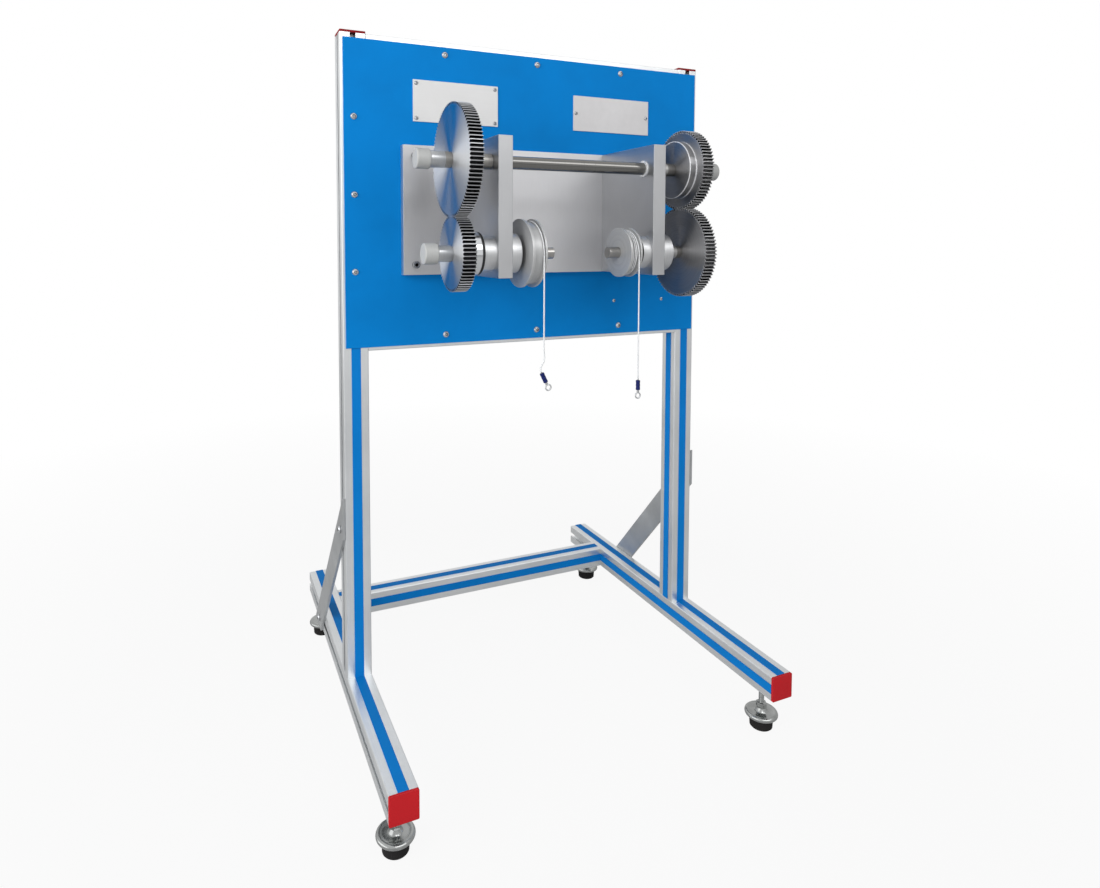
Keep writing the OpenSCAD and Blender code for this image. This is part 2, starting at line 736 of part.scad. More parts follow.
// Back plate of the gear unit, bolted through the panel
module back_plate() {
    bracket_mid_x = bracket_in_x + bracket_t / 2;
    color(aluminium) difference() {
        translate([-back_w / 2, back_y, back_z0]) cube([back_w, back_t, back_h]);
        at_each(back_screw_spots, panel_y + eps)
            cylinder(h = back_t + 2 * eps, d = back_screw_d + 2 * drill_gap);
        for (side = [-1, 1], z = bracket_screw_zs) translate([side * bracket_mid_x, panel_y + eps, z])
            facing_front() {
                cylinder(h = back_t + 2 * eps, d = bracket_screw_d + 2 * drill_gap);
                cylinder(h = bracket_screw_head_h + slide_gap, d = bracket_screw_head_d + 2 * drill_gap);
            }
    }
}
module back_plate_screws() {
    color(steel) for (s = back_screw_spots) {
        translate([s[0], back_y, s[1]]) facing_front()
            cap_screw(back_screw_d, back_head_d, back_head_h, back_t + panel_t + back_nut_h);
        translate([s[0], upright_y0, s[1]]) along_y() difference() {
            cylinder(h = back_nut_h, d = back_head_d / cos(30), $fn = 6);
            translate([0, 0, -eps]) cylinder(h = back_nut_h + 2 * eps, d = back_screw_d + 2 * fit);
        }
    }
}

// Side brackets, bored for the upper bush and the lower bearing housing
module bracket(x0) {
    bracket_mid_x = x0 + bracket_t / 2;
    difference() {
        translate([x0, bracket_y, back_z0]) cube([bracket_t, bracket_depth, back_h]);
        translate([x0 - eps, axis_y, upper_z]) along_x()
            cylinder(h = bracket_t + 2 * eps, d = bush_d + 2 * fit);
        translate([x0 - eps, axis_y, lower_z]) along_x()
            cylinder(h = bracket_t + 2 * eps, d = housing_d + 2 * fit);
        for (z = bracket_screw_zs) translate([bracket_mid_x, back_y + eps, z]) facing_front()
            cylinder(h = bracket_screw_grip, d = bracket_screw_d + 2 * fit);
    }
}
module left_bracket() { color(aluminium) bracket(-bracket_out_x); }
module right_bracket() { color(aluminium) bracket(bracket_in_x); }
module bracket_screws() {
    bracket_mid_x = bracket_in_x + bracket_t / 2;
    thread_y = bracket_screw_grip - bracket_screw_room;
    color(steel) for (side = [-1, 1], z = bracket_screw_zs)
        translate([side * bracket_mid_x, panel_y - bracket_screw_head_h, z]) along_y()
            cap_screw(bracket_screw_d, bracket_screw_head_d, bracket_screw_head_h,
                back_t - bracket_screw_head_h + thread_y);
}

// Plain bush of the upper shaft in the right bracket, with a lip on the inner face
module bush() {
    difference() {
        union() {
            rod(bracket_in_x - eps, bracket_out_x, bush_d);
            rod(bracket_in_x - bush_lip_t, bracket_in_x, bush_d + 2 * bush_lip);
        }
        rod(bracket_in_x - bush_lip_t - eps, bracket_out_x + eps, upper_shaft_d + 2 * running);
    }
}
// Both bushes, and the ball bearings in the two lower housings
module shaft_bearings() {
    left_xs = [left_housing_x0, left_housing_x1 - bearing_w];
    right_xs = [right_housing_x0, right_housing_x1 - bearing_w];
    color(steel) {
        translate([0, axis_y, upper_z]) for (flip = [0, 1]) mirror([flip, 0, 0]) bush();
        translate([0, axis_y, lower_z]) for (x = concat(left_xs, right_xs))
            tube(x, x + bearing_w, bearing_d, seat_d + 2 * running);
    }
}
// Bearing housing, pushed into the bracket's bore up to its flange
module housing(x0, x1, flange_x0, flange_x1) {
    translate([0, axis_y, lower_z]) difference() {
        union() {
            rod(x0, x1, housing_d);
            rod(flange_x0, flange_x1, housing_flange_d);
        }
        rod(x0 - eps, x1 + eps, bearing_d - housing_step);
        rod(x0 - eps, x0 + bearing_w + air, bearing_d + 2 * fit);
        rod(x1 - bearing_w - air, x1 + eps, bearing_d + 2 * fit);
    }
}
module left_bearing_housing() {
    color(satin) housing(left_housing_x0, left_housing_x1, -bracket_in_x, left_housing_x1);
}
module right_bearing_housing() {
    color(satin) housing(right_housing_x0, right_housing_x1, bracket_out_x, right_housing_x1);
}

// Involute gear of a given pitch, centred on the origin with its axis along Z
function inv_deg(a) = tan(a) * 180 / PI - a;
function flank_half_angle(r, pitch_r, teeth) =
    90 / teeth - tooth_play / 2 / pitch_r * 180 / PI
    + inv_deg(pressure_angle) - inv_deg(acos(pitch_r * cos(pressure_angle) / r));
function polar(r, a) = [r * cos(a), r * sin(a)];
module gear_2d(teeth, mod) {
    pitch_r = teeth * mod / 2;
    root_r = pitch_r - dedendum * mod;
    tip_r = pitch_r + addendum * mod;
    polygon([for (k = [0:teeth - 1], step = [-2.5:1:2.5])
        let (r = abs(step) > 2 ? root_r : abs(step) > 1 ? pitch_r : tip_r)
        polar(r, k * 360 / teeth + sign(step) * flank_half_angle(r, pitch_r, teeth))]);
}
// Gear on a shaft at x0: phase is the direction of one tooth, or of one gap for the follower
module gear(x0, z, teeth, mod, phase) {
    translate([x0, axis_y, z]) difference() {
        rotate([0, 90, 0]) rotate(phase) linear_extrude(gear_w) gear_2d(teeth, mod);
        rod(-eps, gear_w + eps, seat_d + 2 * fit);
        keyway(gear_w / 2, gear_w + 2 * eps);
    }
}
// Room for a key behind the shaft's axis, and the key itself
module keyway(x, length) {
    width = key_w + 2 * fit;
    translate([x - length / 2, 0, -width / 2]) cube([length, seat_d / 2 + key_rise + fit, width]);
}
module key_seat(x) {
    width = key_w + 2 * fit;
    translate([x - key_len / 2 - fit, seat_d / 2 - key_rise - fit, -width / 2])
        cube([key_len + 2 * fit, 2 * key_w, width]);
}
module key(x) {
    translate([x - key_len / 2, seat_d / 2 - key_rise, -key_w / 2]) cube([key_len, key_w, key_w]);
}

// Turned by 90 degrees about Y, the polar angle 0 of a gear points down
down = 0;
up = 180;
module upper_left_gear() { color(steel) gear(left_outer_x, upper_z, upper_left_teeth, gear_module, down); }
module lower_left_gear() {
    color(steel) gear(left_outer_x, lower_z, lower_left_teeth, gear_module, up + 180 / lower_left_teeth);
}
module upper_right_gear() {
    color(dark_steel) {
        gear(right_gear_x, upper_z, upper_right_teeth, right_module, down);
        translate([right_gear_x - boss_h, axis_y, upper_z]) difference() {
            rod(0, boss_h + eps, boss_d);
            rod(-eps, boss_h + 1, seat_d + 2 * fit);
            keyway(boss_h / 2, boss_h + 2);
        }
    }
}
module lower_right_gear() {
    color(dark_steel)
        gear(right_gear_x, lower_z, lower_right_teeth, right_module, up + 180 / lower_right_teeth);
}

// Upper shaft with its gears' spacers and keys
left_key_x = left_gear_x - gear_w / 2;
right_key_x = right_gear_x + gear_w / 2;
module upper_shaft() {
    left_end = left_outer_x - ring_len - thread_len;
    right_end = right_outer_x + ring_len + thread_len;
    color(steel) translate([0, axis_y, upper_z]) difference() {
        union() {
            rod(-shoulder_x, shoulder_x, upper_shaft_d);
            rod(left_outer_x - ring_len, right_outer_x + ring_len, seat_d);
            rod(left_end, right_end, thread_d);
        }
        for (x = groove_mark_xs)
            tube(x, x + groove_mark_w, upper_shaft_d + 2 * air, upper_shaft_d - 2 * groove_mark_depth);
        key_seat(left_key_x);
        key_seat(right_key_x);
    }
}
module upper_spacers() {
    bore = seat_d + 2 * fit;
    color(dark_steel) translate([0, axis_y, upper_z]) {
        tube(left_gear_x, -shoulder_x, left_spacer_d, bore);
        tube(left_outer_x - ring_len, left_outer_x, left_spacer_d, bore);
        tube(shoulder_x, right_gear_x - boss_h, right_spacer_d, bore);
        tube(right_outer_x, right_outer_x + ring_len, left_spacer_d, bore);
    }
}
module upper_keys() {
    color(steel) translate([0, axis_y, upper_z]) {
        key(left_key_x);
        key(right_key_x);
    }
}

// Lower left shaft
left_pulley_key_x = (left_pulley_x0 + left_pulley_x1) / 2;
right_pulley_key_x = (right_pulley_x0 + right_pulley_x1) / 2;
module left_shaft() {
    color(steel) translate([0, axis_y, lower_z]) difference() {
        union() {
            rod(left_outer_x, left_pulley_x1 + left_free_end, seat_d);
            rod(left_outer_x - thread_len, left_outer_x + eps, thread_d);
        }
        key_seat(left_key_x);
        key_seat(left_pulley_key_x);
    }
}
module left_collar() {
    x1 = left_housing_x0 - air;
    color(satin) translate([0, axis_y, lower_z]) {
        tube(left_gear_x, x1 - seal_w, collar_d, seat_d + 2 * fit);
        tube(x1 - seal_w + fit, x1, collar_d - 2, seat_d + 2 * fit);
    }
}
module left_keys() {
    color(steel) translate([0, axis_y, lower_z]) {
        key(left_key_x);
        key(left_pulley_key_x);
    }
}

// Lower right shaft
module right_shaft() {
    color(steel) translate([0, axis_y, lower_z]) difference() {
        union() {
            rod(right_pulley_x0 - right_free_end, right_outer_x, seat_d);
            rod(right_outer_x - eps, right_outer_x + thread_len, thread_d);
        }
        key_seat(right_key_x);
        key_seat(right_pulley_key_x);
    }
}
module right_spacer() {
    color(dark_steel) translate([0, axis_y, lower_z])
        tube(right_housing_x1 + air, right_gear_x, right_spacer_d, seat_d + 2 * fit);
}
module right_keys() {
    color(steel) translate([0, axis_y, lower_z]) {
        key(right_key_x);
        key(right_pulley_key_x);
    }
}

// Grooved pulleys
module pulley(x0, x1, d, groove_r) {
    translate([0, axis_y, lower_z]) difference() {
        rod(x0, x1, d);
        tube(x0 + flange_t, x1 - leaving_flange_t, d + 1, 2 * groove_r);
        rod(x0 - eps, x1 + eps, seat_d + 2 * fit);
        keyway((x0 + x1) / 2, x1 - x0 + 2 * eps);
    }
}
module left_pulley() {
    color(satin) pulley(left_pulley_x0, left_pulley_x1, left_pulley_d, left_groove_r);
}
module right_pulley() {
    color(satin) pulley(right_pulley_x0, right_pulley_x1, right_pulley_d, right_groove_r);
}

// Clamp knobs: a turned hub and head on the shaft's threaded end; the hub starts at height 0
module knob(head_d, head_len) {
    length = knob_hub_len + head_len;
    head_r = head_d / 2;
    difference() {
        rotate_extrude() {
            square([knob_hub_d / 2, knob_hub_len + eps]);
            translate([0, knob_hub_len]) square([head_r - knob_edge, head_len]);
            translate([0, knob_hub_len + knob_edge]) square([head_r, head_len - 2 * knob_edge]);
            for (z = [knob_edge, head_len - knob_edge])
                translate([head_r - knob_edge, knob_hub_len + z]) circle(r = knob_edge);
        }
        translate([0, 0, -eps]) cylinder(h = thread_len + air, d = thread_d + 2 * running);
    }
}
module left_knob_at(x, z) { translate([x - fit, axis_y, z]) rotate([0, -90, 0]) children(); }
module right_knob_at(x, z) { translate([x + fit, axis_y, z]) rotate([0, 90, 0]) children(); }
module upper_left_knob() {
    color(satin) left_knob_at(left_outer_x - ring_len, upper_z) knob(upper_knob_d, upper_knob_len);
}
module upper_right_knob() {
    color(satin) right_knob_at(right_outer_x + ring_len, upper_z) knob(upper_knob_d, upper_knob_len);
}
module lower_left_knob() {
    color(satin) left_knob_at(left_outer_x, lower_z) knob(lower_knob_d, lower_knob_len);
}
module lower_right_knob() {
    color(satin) right_knob_at(right_outer_x, lower_z) knob(lower_knob_d, lower_knob_len);
}

// A tube swept along points: each ring stands square to the path
function unit(v) = v / norm(v);
function path_dir(p, i) = unit(p[min(i + 1, len(p) - 1)] - p[max(i - 1, 0)]);
function ring_points(p, i, r, sides) =
    let (d = path_dir(p, i), side = abs(d[0]) > 0.9 ? [0, 0, 1] : [1, 0, 0],
        u = unit(side - (side * d) * d), v = cross(d, u))
    [for (k = [0:sides - 1]) p[i] + r * (cos(360 * k / sides) * u + sin(360 * k / sides) * v)];
module swept_tube(p, d, sides) {
    rings = len(p);
    last = (rings - 1) * sides;
    points = [for (i = [0:rings - 1]) each ring_points(p, i, d / 2, sides)];
    walls = [for (i = [0:rings - 2], k = [0:sides - 1])
        let (a = i * sides + k, b = i * sides + (k + 1) % sides)
        each [[a, b, a + sides], [b, b + sides, a + sides]]];
    ends = [for (k = [1:sides - 2]) each [[0, k + 1, k], [last, last + k, last + k + 1]]];
    polyhedron(points = points, faces = concat(walls, ends));
}

// Winding: from the straight end where the cord leaves, up over the pulley and round it for the
// given turns, then a quarter bend and a straight run, square to the inside of a flange.
// The flange is on the side of the leaving cord (toward = 1) or across the groove (toward = -1).
function on_drum(x, s, r) = [x, -r * cos(s / r * 180 / PI), r * sin(s / r * 180 / PI)];
function winding_path(leave_x, flange_x, drum_r, turns, toward) =
    let (r = drum_r / cos(180 / loop_rings),
        turns_s = 2 * PI * r * turns,
        end_x = flange_x - toward * (cord_d + bend_r),
        steps = loop_rings * turns)
    concat(
        [[leave_x, -r, -cord_d], [leave_x, -r, -cord_d / 2]],
        [for (k = [0:steps]) on_drum(leave_x + (end_x - leave_x) * k / steps, turns_s * k / steps, r)],
        [for (a = [22.5:22.5:90])
            on_drum(end_x + toward * bend_r * (1 - cos(a)), turns_s + bend_r * sin(a), r)],
        [on_drum(flange_x, turns_s + bend_r, r)]);
function least_gap(p) = min([for (i = [0:len(p) - 1], j = [0:len(p) - 1])
    if (j > i + loop_rings / 3) norm(p[i] - p[j])]) - cord_d;

left_flange_x = left_pulley_x1 - leaving_flange_t;
right_flange_x = right_pulley_x0 + flange_t;
left_winding_path = winding_path(left_cord_x, left_flange_x, left_cord_r, left_turns, 1);
right_winding_path = winding_path(right_cord_x, right_flange_x, right_cord_r, right_turns, -1);
echo(left_winding_least_gap = least_gap(left_winding_path));
echo(right_winding_least_gap = least_gap(right_winding_path));
module left_winding() {
    color(cord_white) translate([0, axis_y, lower_z]) swept_tube(left_winding_path, cord_d, 6);
}
module right_winding() {
    color(cord_white) translate([0, axis_y, lower_z]) swept_tube(right_winding_path, cord_d, 6);
}

// Hanging cords, and the ferrule and eye at the end of each
left_leave = [0, axis_y, lower_z] + left_winding_path[0];
right_leave = [0, axis_y, lower_z] + right_winding_path[0];
module hanging_cord(leave, route) { swept_tube([for (p = route) leave + p], cord_d, 8); }
module cord_end() {
    translate([0, 0, -ferrule_len]) cylinder(h = ferrule_len, d = ferrule_d);
    translate([0, 0, -ferrule_len - eye_neck - eye_d / 2]) difference() {
        union() {
            facing_front() cylinder(h = eye_t, d = eye_d, center = true);
            translate([-eye_neck_w / 2, -eye_t / 2, 0]) cube([eye_neck_w, eye_t, eye_d / 2 + eye_neck + eps]);
        }
        facing_front() cylinder(h = eye_t + 2 * eps, d = eye_hole_d, center = true);
    }
}
module left_cord() { color(cord_white) hanging_cord(left_leave, left_route); }
module right_cord() { color(cord_white) hanging_cord(right_leave, right_route); }
module left_cord_end() {
    color(ferrule_blue) translate(left_leave + left_route[len(left_route) - 1])
        rotate([0, -left_ferrule_tilt, 0]) cord_end();
}
module right_cord_end() {
    color(ferrule_blue) translate(right_leave + right_route[len(right_route) - 1]) cord_end();
}

left_rail();
right_rail();
left_upright();
right_upright();
rear_crossbar();
top_crossbar();
panel_crossbar();
end_caps();
left_brace();
right_brace();
brace_bolts();
cover_strips();
frame_joint_bolts();
foot_inserts();
panel();
panel_screws();
title_plate();
side_plate();
small_screws();
back_plate();
back_plate_screws();
left_bracket();
right_bracket();
bracket_screws();
shaft_bearings();
left_bearing_housing();
right_bearing_housing();
upper_shaft();
upper_left_gear();
upper_right_gear();
upper_spacers();
upper_keys();
left_shaft();
lower_left_gear();
left_collar();
left_pulley();
left_winding();
left_keys();
right_shaft();
lower_right_gear();
right_spacer();
right_pulley();
right_winding();
right_keys();
upper_left_knob();
upper_right_knob();
lower_left_knob();
lower_right_knob();
left_cord();
left_cord_end();
right_cord();
right_cord_end();
front_left_foot();
front_right_foot();
rear_left_foot();
rear_right_foot();
front_left_pad();
front_right_pad();
rear_left_pad();
rear_right_pad();
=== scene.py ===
# %% [markdown]
# # A geared lifting apparatus
#
# This lesson dresses a finished CAD model in Blender. The object is a classroom apparatus: a stand of
# slotted aluminium profile, a blue panel, and a gear unit with two cord pulleys. The solids come from the
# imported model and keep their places. Blender adds the cords, the finishes, the light and the camera.

# %% Load the fixed frame
import math

import bmesh
import bpy
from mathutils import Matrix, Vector


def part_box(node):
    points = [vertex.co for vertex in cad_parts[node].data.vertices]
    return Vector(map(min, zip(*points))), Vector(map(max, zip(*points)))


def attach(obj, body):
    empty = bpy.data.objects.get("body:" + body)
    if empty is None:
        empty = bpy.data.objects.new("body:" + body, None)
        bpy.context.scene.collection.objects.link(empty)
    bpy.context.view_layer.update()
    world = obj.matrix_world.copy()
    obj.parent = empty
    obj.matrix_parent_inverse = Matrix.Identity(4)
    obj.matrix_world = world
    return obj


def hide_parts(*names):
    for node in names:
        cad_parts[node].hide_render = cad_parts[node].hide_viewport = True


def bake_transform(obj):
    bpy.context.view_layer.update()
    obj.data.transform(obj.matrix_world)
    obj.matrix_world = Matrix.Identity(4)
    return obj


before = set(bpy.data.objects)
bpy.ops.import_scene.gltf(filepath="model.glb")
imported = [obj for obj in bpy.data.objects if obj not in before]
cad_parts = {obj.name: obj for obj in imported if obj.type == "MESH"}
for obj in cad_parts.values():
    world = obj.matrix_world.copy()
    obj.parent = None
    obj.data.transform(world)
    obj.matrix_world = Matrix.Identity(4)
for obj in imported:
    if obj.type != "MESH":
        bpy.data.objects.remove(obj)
scene = bpy.context.scene
scene.view_settings.view_transform = "Standard"
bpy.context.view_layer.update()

# %% [markdown]
# ## The camera
#
# A camera can be placed by eye, or worked out from lengths that are known on the object. Here the profile
# is 45 mm wide, so its straight edges give the place, the turn and the lens. The photograph is cropped
# off centre, and a lens shift does the same without turning the camera, so the uprights keep their slight
# lean.

# %% Camera at the photograph's place
camera_data = bpy.data.cameras.new("photo_camera")
camera_data.sensor_width = 36.0
camera_data.lens = 23.46
camera_data.shift_x = 0.0445
camera_data.shift_y = -0.1487
camera = bpy.data.objects.new("photo_camera", camera_data)
camera.location = (-0.6114, -1.3325, 0.911)
camera.rotation_euler = (math.radians(86.87), 0.0, math.radians(-23.17))
scene.collection.objects.link(camera)
scene.camera = camera
print("camera at", tuple(camera.location), "lens", camera_data.lens, "mm")

# %% [markdown]
# ## Small helpers for node trees
#
# Shader nodes can be wired one line at a time, but a material then takes a page. A helper that makes a
# node, sets its properties and plugs in its wires keeps each finish short enough to read.

# %% Node helpers
def add(tree, kind, wires=None, **settings):
    """Makes one node; wires maps a socket's name or number to a value or to another socket."""
    made = tree.nodes.new(kind)
    for key, value in settings.items():
        setattr(made, key, value)
    for key, value in (wires or {}).items():
        if isinstance(value, bpy.types.NodeSocket):
            tree.links.new(value, made.inputs[key])
        else:
            made.inputs[key].default_value = value
    return made


def maths(tree, operation, first, second=0.0):
    """The result of one Math node."""
    return add(tree, "ShaderNodeMath", {0: first, 1: second}, operation=operation).outputs[0]


def between(tree, value, low, high, out_low=0.0, out_high=1.0):
    """Maps a value from one range to another and clamps it there."""
    wires = {"Value": value, "From Min": low, "From Max": high, "To Min": out_low, "To Max": out_high}
    return add(tree, "ShaderNodeMapRange", wires).outputs[0]


def blend_colours(tree, amount, first, second):
    """Mixes two colours: the first at 0, the second at 1."""
    return add(tree, "ShaderNodeMix", {0: amount, 6: first, 7: second}, data_type="RGBA").outputs[2]


def linear(red, green, blue):
    """Turns a colour on the usual 0 to 255 scale into Blender's linear values."""
    def one(step):
        part = step / 255.0
        return part / 12.92 if part <= 0.04045 else ((part + 0.055) / 1.055) ** 2.4

    return (one(red), one(green), one(blue), 1.0)


def scaled(colour, factor, lift=0.0):
    """A brighter or deeper relative of a colour; lift adds a little grey."""
    return tuple(min(1.0, part * factor + lift) for part in colour[:3]) + (1.0,)


def shader_group(name, inputs, outputs):
    """Starts a shader node group with named sockets and returns it with its two end nodes."""
    group = bpy.data.node_groups.new(name, "ShaderNodeTree")
    for label, kind, value in inputs:
        group.interface.new_socket(label, in_out="INPUT", socket_type=kind).default_value = value
    for label, kind in outputs:
        group.interface.new_socket(label, in_out="OUTPUT", socket_type=kind)
    return group, group.nodes.new("NodeGroupInput"), group.nodes.new("NodeGroupOutput")


VECTOR = "NodeSocketVector"
VALUE = "NodeSocketFloat"
print("helpers ready")

# %% [markdown]
# ## Marks that several metals share
#
# An extruded bar has fine lines along its length, and a plate that was brushed has them along the brush's
# path. Noise stretched in one direction gives both. The stretch is an input, so rails, uprights and
# crossbars can each have their own direction.

# %% Group for drawn and brushed lines
drawn_lines, given, result = shader_group(
    "drawn_lines",
    [("Position", VECTOR, (0, 0, 0)), ("Lines per metre", VECTOR, (900, 900, 8))],
    [("Tone", VALUE)],
)
stretched = add(drawn_lines, "ShaderNodeVectorMath", {0: given.outputs[0], 1: given.outputs[1]},
                operation="MULTIPLY").outputs[0]
streaks = add(drawn_lines, "ShaderNodeTexNoise",
              {"Vector": stretched, "Scale": 1.0, "Detail": 3.0, "Roughness": 0.6})
drawn_lines.links.new(streaks.outputs["Fac"], result.inputs["Tone"])
print("made group", drawn_lines.name)

# %% [markdown]
# Gears, pulleys, housings and knobs were turned on a lathe, and the tool leaves rings round the axis. All
# axes of this unit run along X, so the distance from the axis and the place along X are enough: noise
# that reads only these two draws rings on the end faces and fine threads on the round sides.

# %% Group for lathe marks
lathe_marks, given, result = shader_group(
    "lathe_marks",
    [("Position", VECTOR, (0, 0, 0)), ("Axis", VECTOR, (0, -0.238, 1.041)),
     ("Rings per metre", VALUE, 900.0)],
    [("Tone", VALUE), ("Radius", VALUE)],
)
from_axis = add(lathe_marks, "ShaderNodeVectorMath", {0: given.outputs[0], 1: given.outputs[1]},
                operation="SUBTRACT").outputs[0]
parts = add(lathe_marks, "ShaderNodeSeparateXYZ", {0: from_axis})
across = add(lathe_marks, "ShaderNodeCombineXYZ", {1: parts.outputs[1], 2: parts.outputs[2]})
radius = add(lathe_marks, "ShaderNodeVectorMath", {0: across.outputs[0]}, operation="LENGTH").outputs[1]
ring_place = add(lathe_marks, "ShaderNodeCombineXYZ", {
    0: maths(lathe_marks, "MULTIPLY", radius, given.outputs[2]),
    1: maths(lathe_marks, "MULTIPLY", parts.outputs[0], given.outputs[2]),
})
rings = add(lathe_marks, "ShaderNodeTexNoise",
            {"Vector": ring_place.outputs[0], "Scale": 1.0, "Detail": 3.0, "Roughness": 0.65})
lathe_marks.links.new(rings.outputs["Fac"], result.inputs["Tone"])
lathe_marks.links.new(radius, result.inputs["Radius"])
print("made group", lathe_marks.name)

# %% [markdown]
# No real edge is perfectly sharp. A Bevel node gives the normal that a small rounding would have, and
# where that normal differs from the plain one there is an edge. The group gives both: the rounded normal
# catches the light, and the mask brightens metal that hands have rubbed.

# %% Group for rounded and rubbed edges
rubbed_edges, given, result = shader_group(
    "rubbed_edges", [("Rounding", VALUE, 0.0006)], [("Edge", VALUE), ("Normal", VECTOR)]
)
rounded = add(rubbed_edges, "ShaderNodeBevel", {"Radius": given.outputs[0]}, samples=4)
plain = add(rubbed_edges, "ShaderNodeNewGeometry")
agree = add(rubbed_edges, "ShaderNodeVectorMath", {0: rounded.outputs[0], 1: plain.outputs["Normal"]},
            operation="DOT_PRODUCT").outputs[1]
edge = between(rubbed_edges, agree, 0.995, 0.86)
rubbed_edges.links.new(edge, result.inputs["Edge"])
rubbed_edges.links.new(rounded.outputs[0], result.inputs["Normal"])
print("made group", rubbed_edges.name)

# %% [markdown]
# Hands, dust and cleaning leave soft patches that are a little duller than the rest. One large soft noise
# does for every finish, metal or not.

# %% Group for soft patches
soft_patches, given, result = shader_group(
    "soft_patches", [("Position", VECTOR, (0, 0, 0)), ("Patches per metre", VALUE, 14.0)], [("Tone", VALUE)]
)
clouds = add(soft_patches, "ShaderNodeTexNoise", {
    "Vector": given.outputs[0], "Scale": given.outputs[1],
    "Detail": 4.0, "Roughness": 0.55, "Distortion": 0.4,
})
soft_patches.links.new(between(soft_patches, clouds.outputs["Fac"], 0.3, 0.7), result.inputs["Tone"])
print("made group", soft_patches.name)

# %% [markdown]
# ## Starting a material
#
# Every finish begins alike: a Principled shader, the object's own coordinates in metres, and the groups
# above. A helper builds that start, so a finish only has to say what is its own.

# %% Material starter
def start_finish(name):
    """Returns a new material, its node tree, its Principled shader and the Object coordinates."""
    finish = bpy.data.materials.new(name)
    finish.use_nodes = True
    tree = finish.node_tree
    shader = tree.nodes["Principled BSDF"]
    place = add(tree, "ShaderNodeTexCoord").outputs["Object"]
    return finish, tree, shader, place


def use(tree, group, wires):
    """Places a shader group in a material, with its own values."""
    return add(tree, "ShaderNodeGroup", wires, node_tree=group)


def bump(tree, shader, height, depth, normal=None, strength=0.6):
    """Feeds a height into the shader's Normal; depth is in metres."""
    wires = {"Height": height, "Distance": depth, "Strength": strength}
    if normal is not None:
        wires["Normal"] = normal
    made = add(tree, "ShaderNodeBump", wires)
    tree.links.new(made.outputs[0], shader.inputs["Normal"])


print("material starter ready")

# %% [markdown]
# ## Metal that was drawn, brushed or milled
#
# The stand's profile is clear anodised aluminium: satin, slightly cool, with lines along the bar.
# Brackets, back plate, braces and plates are close relatives. One function with a direction of lines
# serves them all.

# %% Drawn and brushed metal
LINE_SHARE = 0.65


def drawn_metal(name, dark, light, rough, lines, rounding=0.0006, depth=0.00002, rubbed=0.25, metallic=1.0):
    """Metal with straight marks; lines gives their number per metre along X, Y and Z."""
    finish, tree, shader, place = start_finish(name)
    tone = use(tree, drawn_lines, {"Position": place, "Lines per metre": lines}).outputs["Tone"]
    patch = use(tree, soft_patches, {"Position": place, "Patches per metre": 9.0}).outputs["Tone"]
    edges = use(tree, rubbed_edges, {"Rounding": rounding})
    mixed = maths(tree, "ADD", maths(tree, "MULTIPLY", tone, LINE_SHARE),
                  maths(tree, "MULTIPLY", patch, 1.0 - LINE_SHARE))
    body = blend_colours(tree, between(tree, mixed, 0.25, 0.75), dark, light)
    bright = scaled(light, 1.35)
    shown = blend_colours(tree, maths(tree, "MULTIPLY", edges.outputs["Edge"], rubbed), body, bright)
    tree.links.new(shown, shader.inputs["Base Color"])
    tree.links.new(between(tree, mixed, 0.2, 0.8, rough[0], rough[1]), shader.inputs["Roughness"])
    shader.inputs["Metallic"].default_value = metallic
    bump(tree, shader, tone, depth, edges.outputs["Normal"])
    return finish


profile_dark = linear(222, 225, 227)
profile_light = linear(240, 242, 243)
profile_rough = (0.34, 0.46)
profile_along_x = drawn_metal("profile_along_x", profile_dark, profile_light, profile_rough, (6, 1400, 1400))
profile_along_y = drawn_metal("profile_along_y", profile_dark, profile_light, profile_rough, (1400, 6, 1400))
profile_along_z = drawn_metal("profile_along_z", profile_dark, profile_light, profile_rough, (1400, 1400, 6))
brace_bar = drawn_metal("brace_bar", linear(180, 183, 185), linear(202, 204, 205), (0.36, 0.5), (900, 25, 25))
mill_lines = (2200, 2200, 30)
milled_plate = drawn_metal("milled_plate", linear(214, 214, 216), linear(223, 223, 225), (0.5, 0.56),
                           mill_lines, rounding=0.0012, rubbed=0.5, depth=0.000003)
# The brackets take a darker copy of the plate finish; the difference is painted shade.
milled_bracket_shaded = drawn_metal("milled_bracket_shaded", linear(190, 191, 193), linear(200, 201, 203), (0.34, 0.4),
                             mill_lines, rounding=0.0012, rubbed=0.5, depth=0.000003)
name_plate = drawn_metal("name_plate", linear(196, 196, 196), linear(206, 206, 206), (0.5, 0.6),
                         (5, 800, 1600), metallic=0.2)
small_plate = drawn_metal("small_plate", linear(188, 187, 188), linear(198, 197, 198), (0.5, 0.6),
                          (60, 60, 60), metallic=0.2)
print("drawn metals:", profile_along_x.name, profile_along_y.name, profile_along_z.name, milled_plate.name)

# %% [markdown]
# ## Metal that was turned
#
# A turned face mirrors the room in wedges: the rings spread a reflection outwards from the axis, so two
# bright and two dark wedges meet in the middle. Painting wedges would be wrong from any other side. The
# Principled shader's anisotropy does it by itself when its tangent runs round the X axis and is turned a
# quarter. Rubbed edges scatter light rather than mirror it, so the finish is less metallic there. The
# bottoms of the tooth gaps are darkened as painted shade with some grime. The boss of the upper right
# gear has two painted highlight rings, and the right spacers have a painted highlight near the bracket.
# A circle is known by its X and its radius, and a span by its two ends along X, so both are masks on the
# coordinates.

# %% Turned metal
UPPER_AXIS = (0.0, -0.238, 1.041)
LOWER_AXIS = (0.0, -0.238, 0.891)
# Colour at the bottom of the tooth gaps: painted shade, with some oily grime.
GAP_SHADE_AND_GRIME = linear(24, 24, 26)
TIP_BAND = 0.0009
ROOT_BAND = (0.006, 0.004)
QUARTER_TURN = 0.25


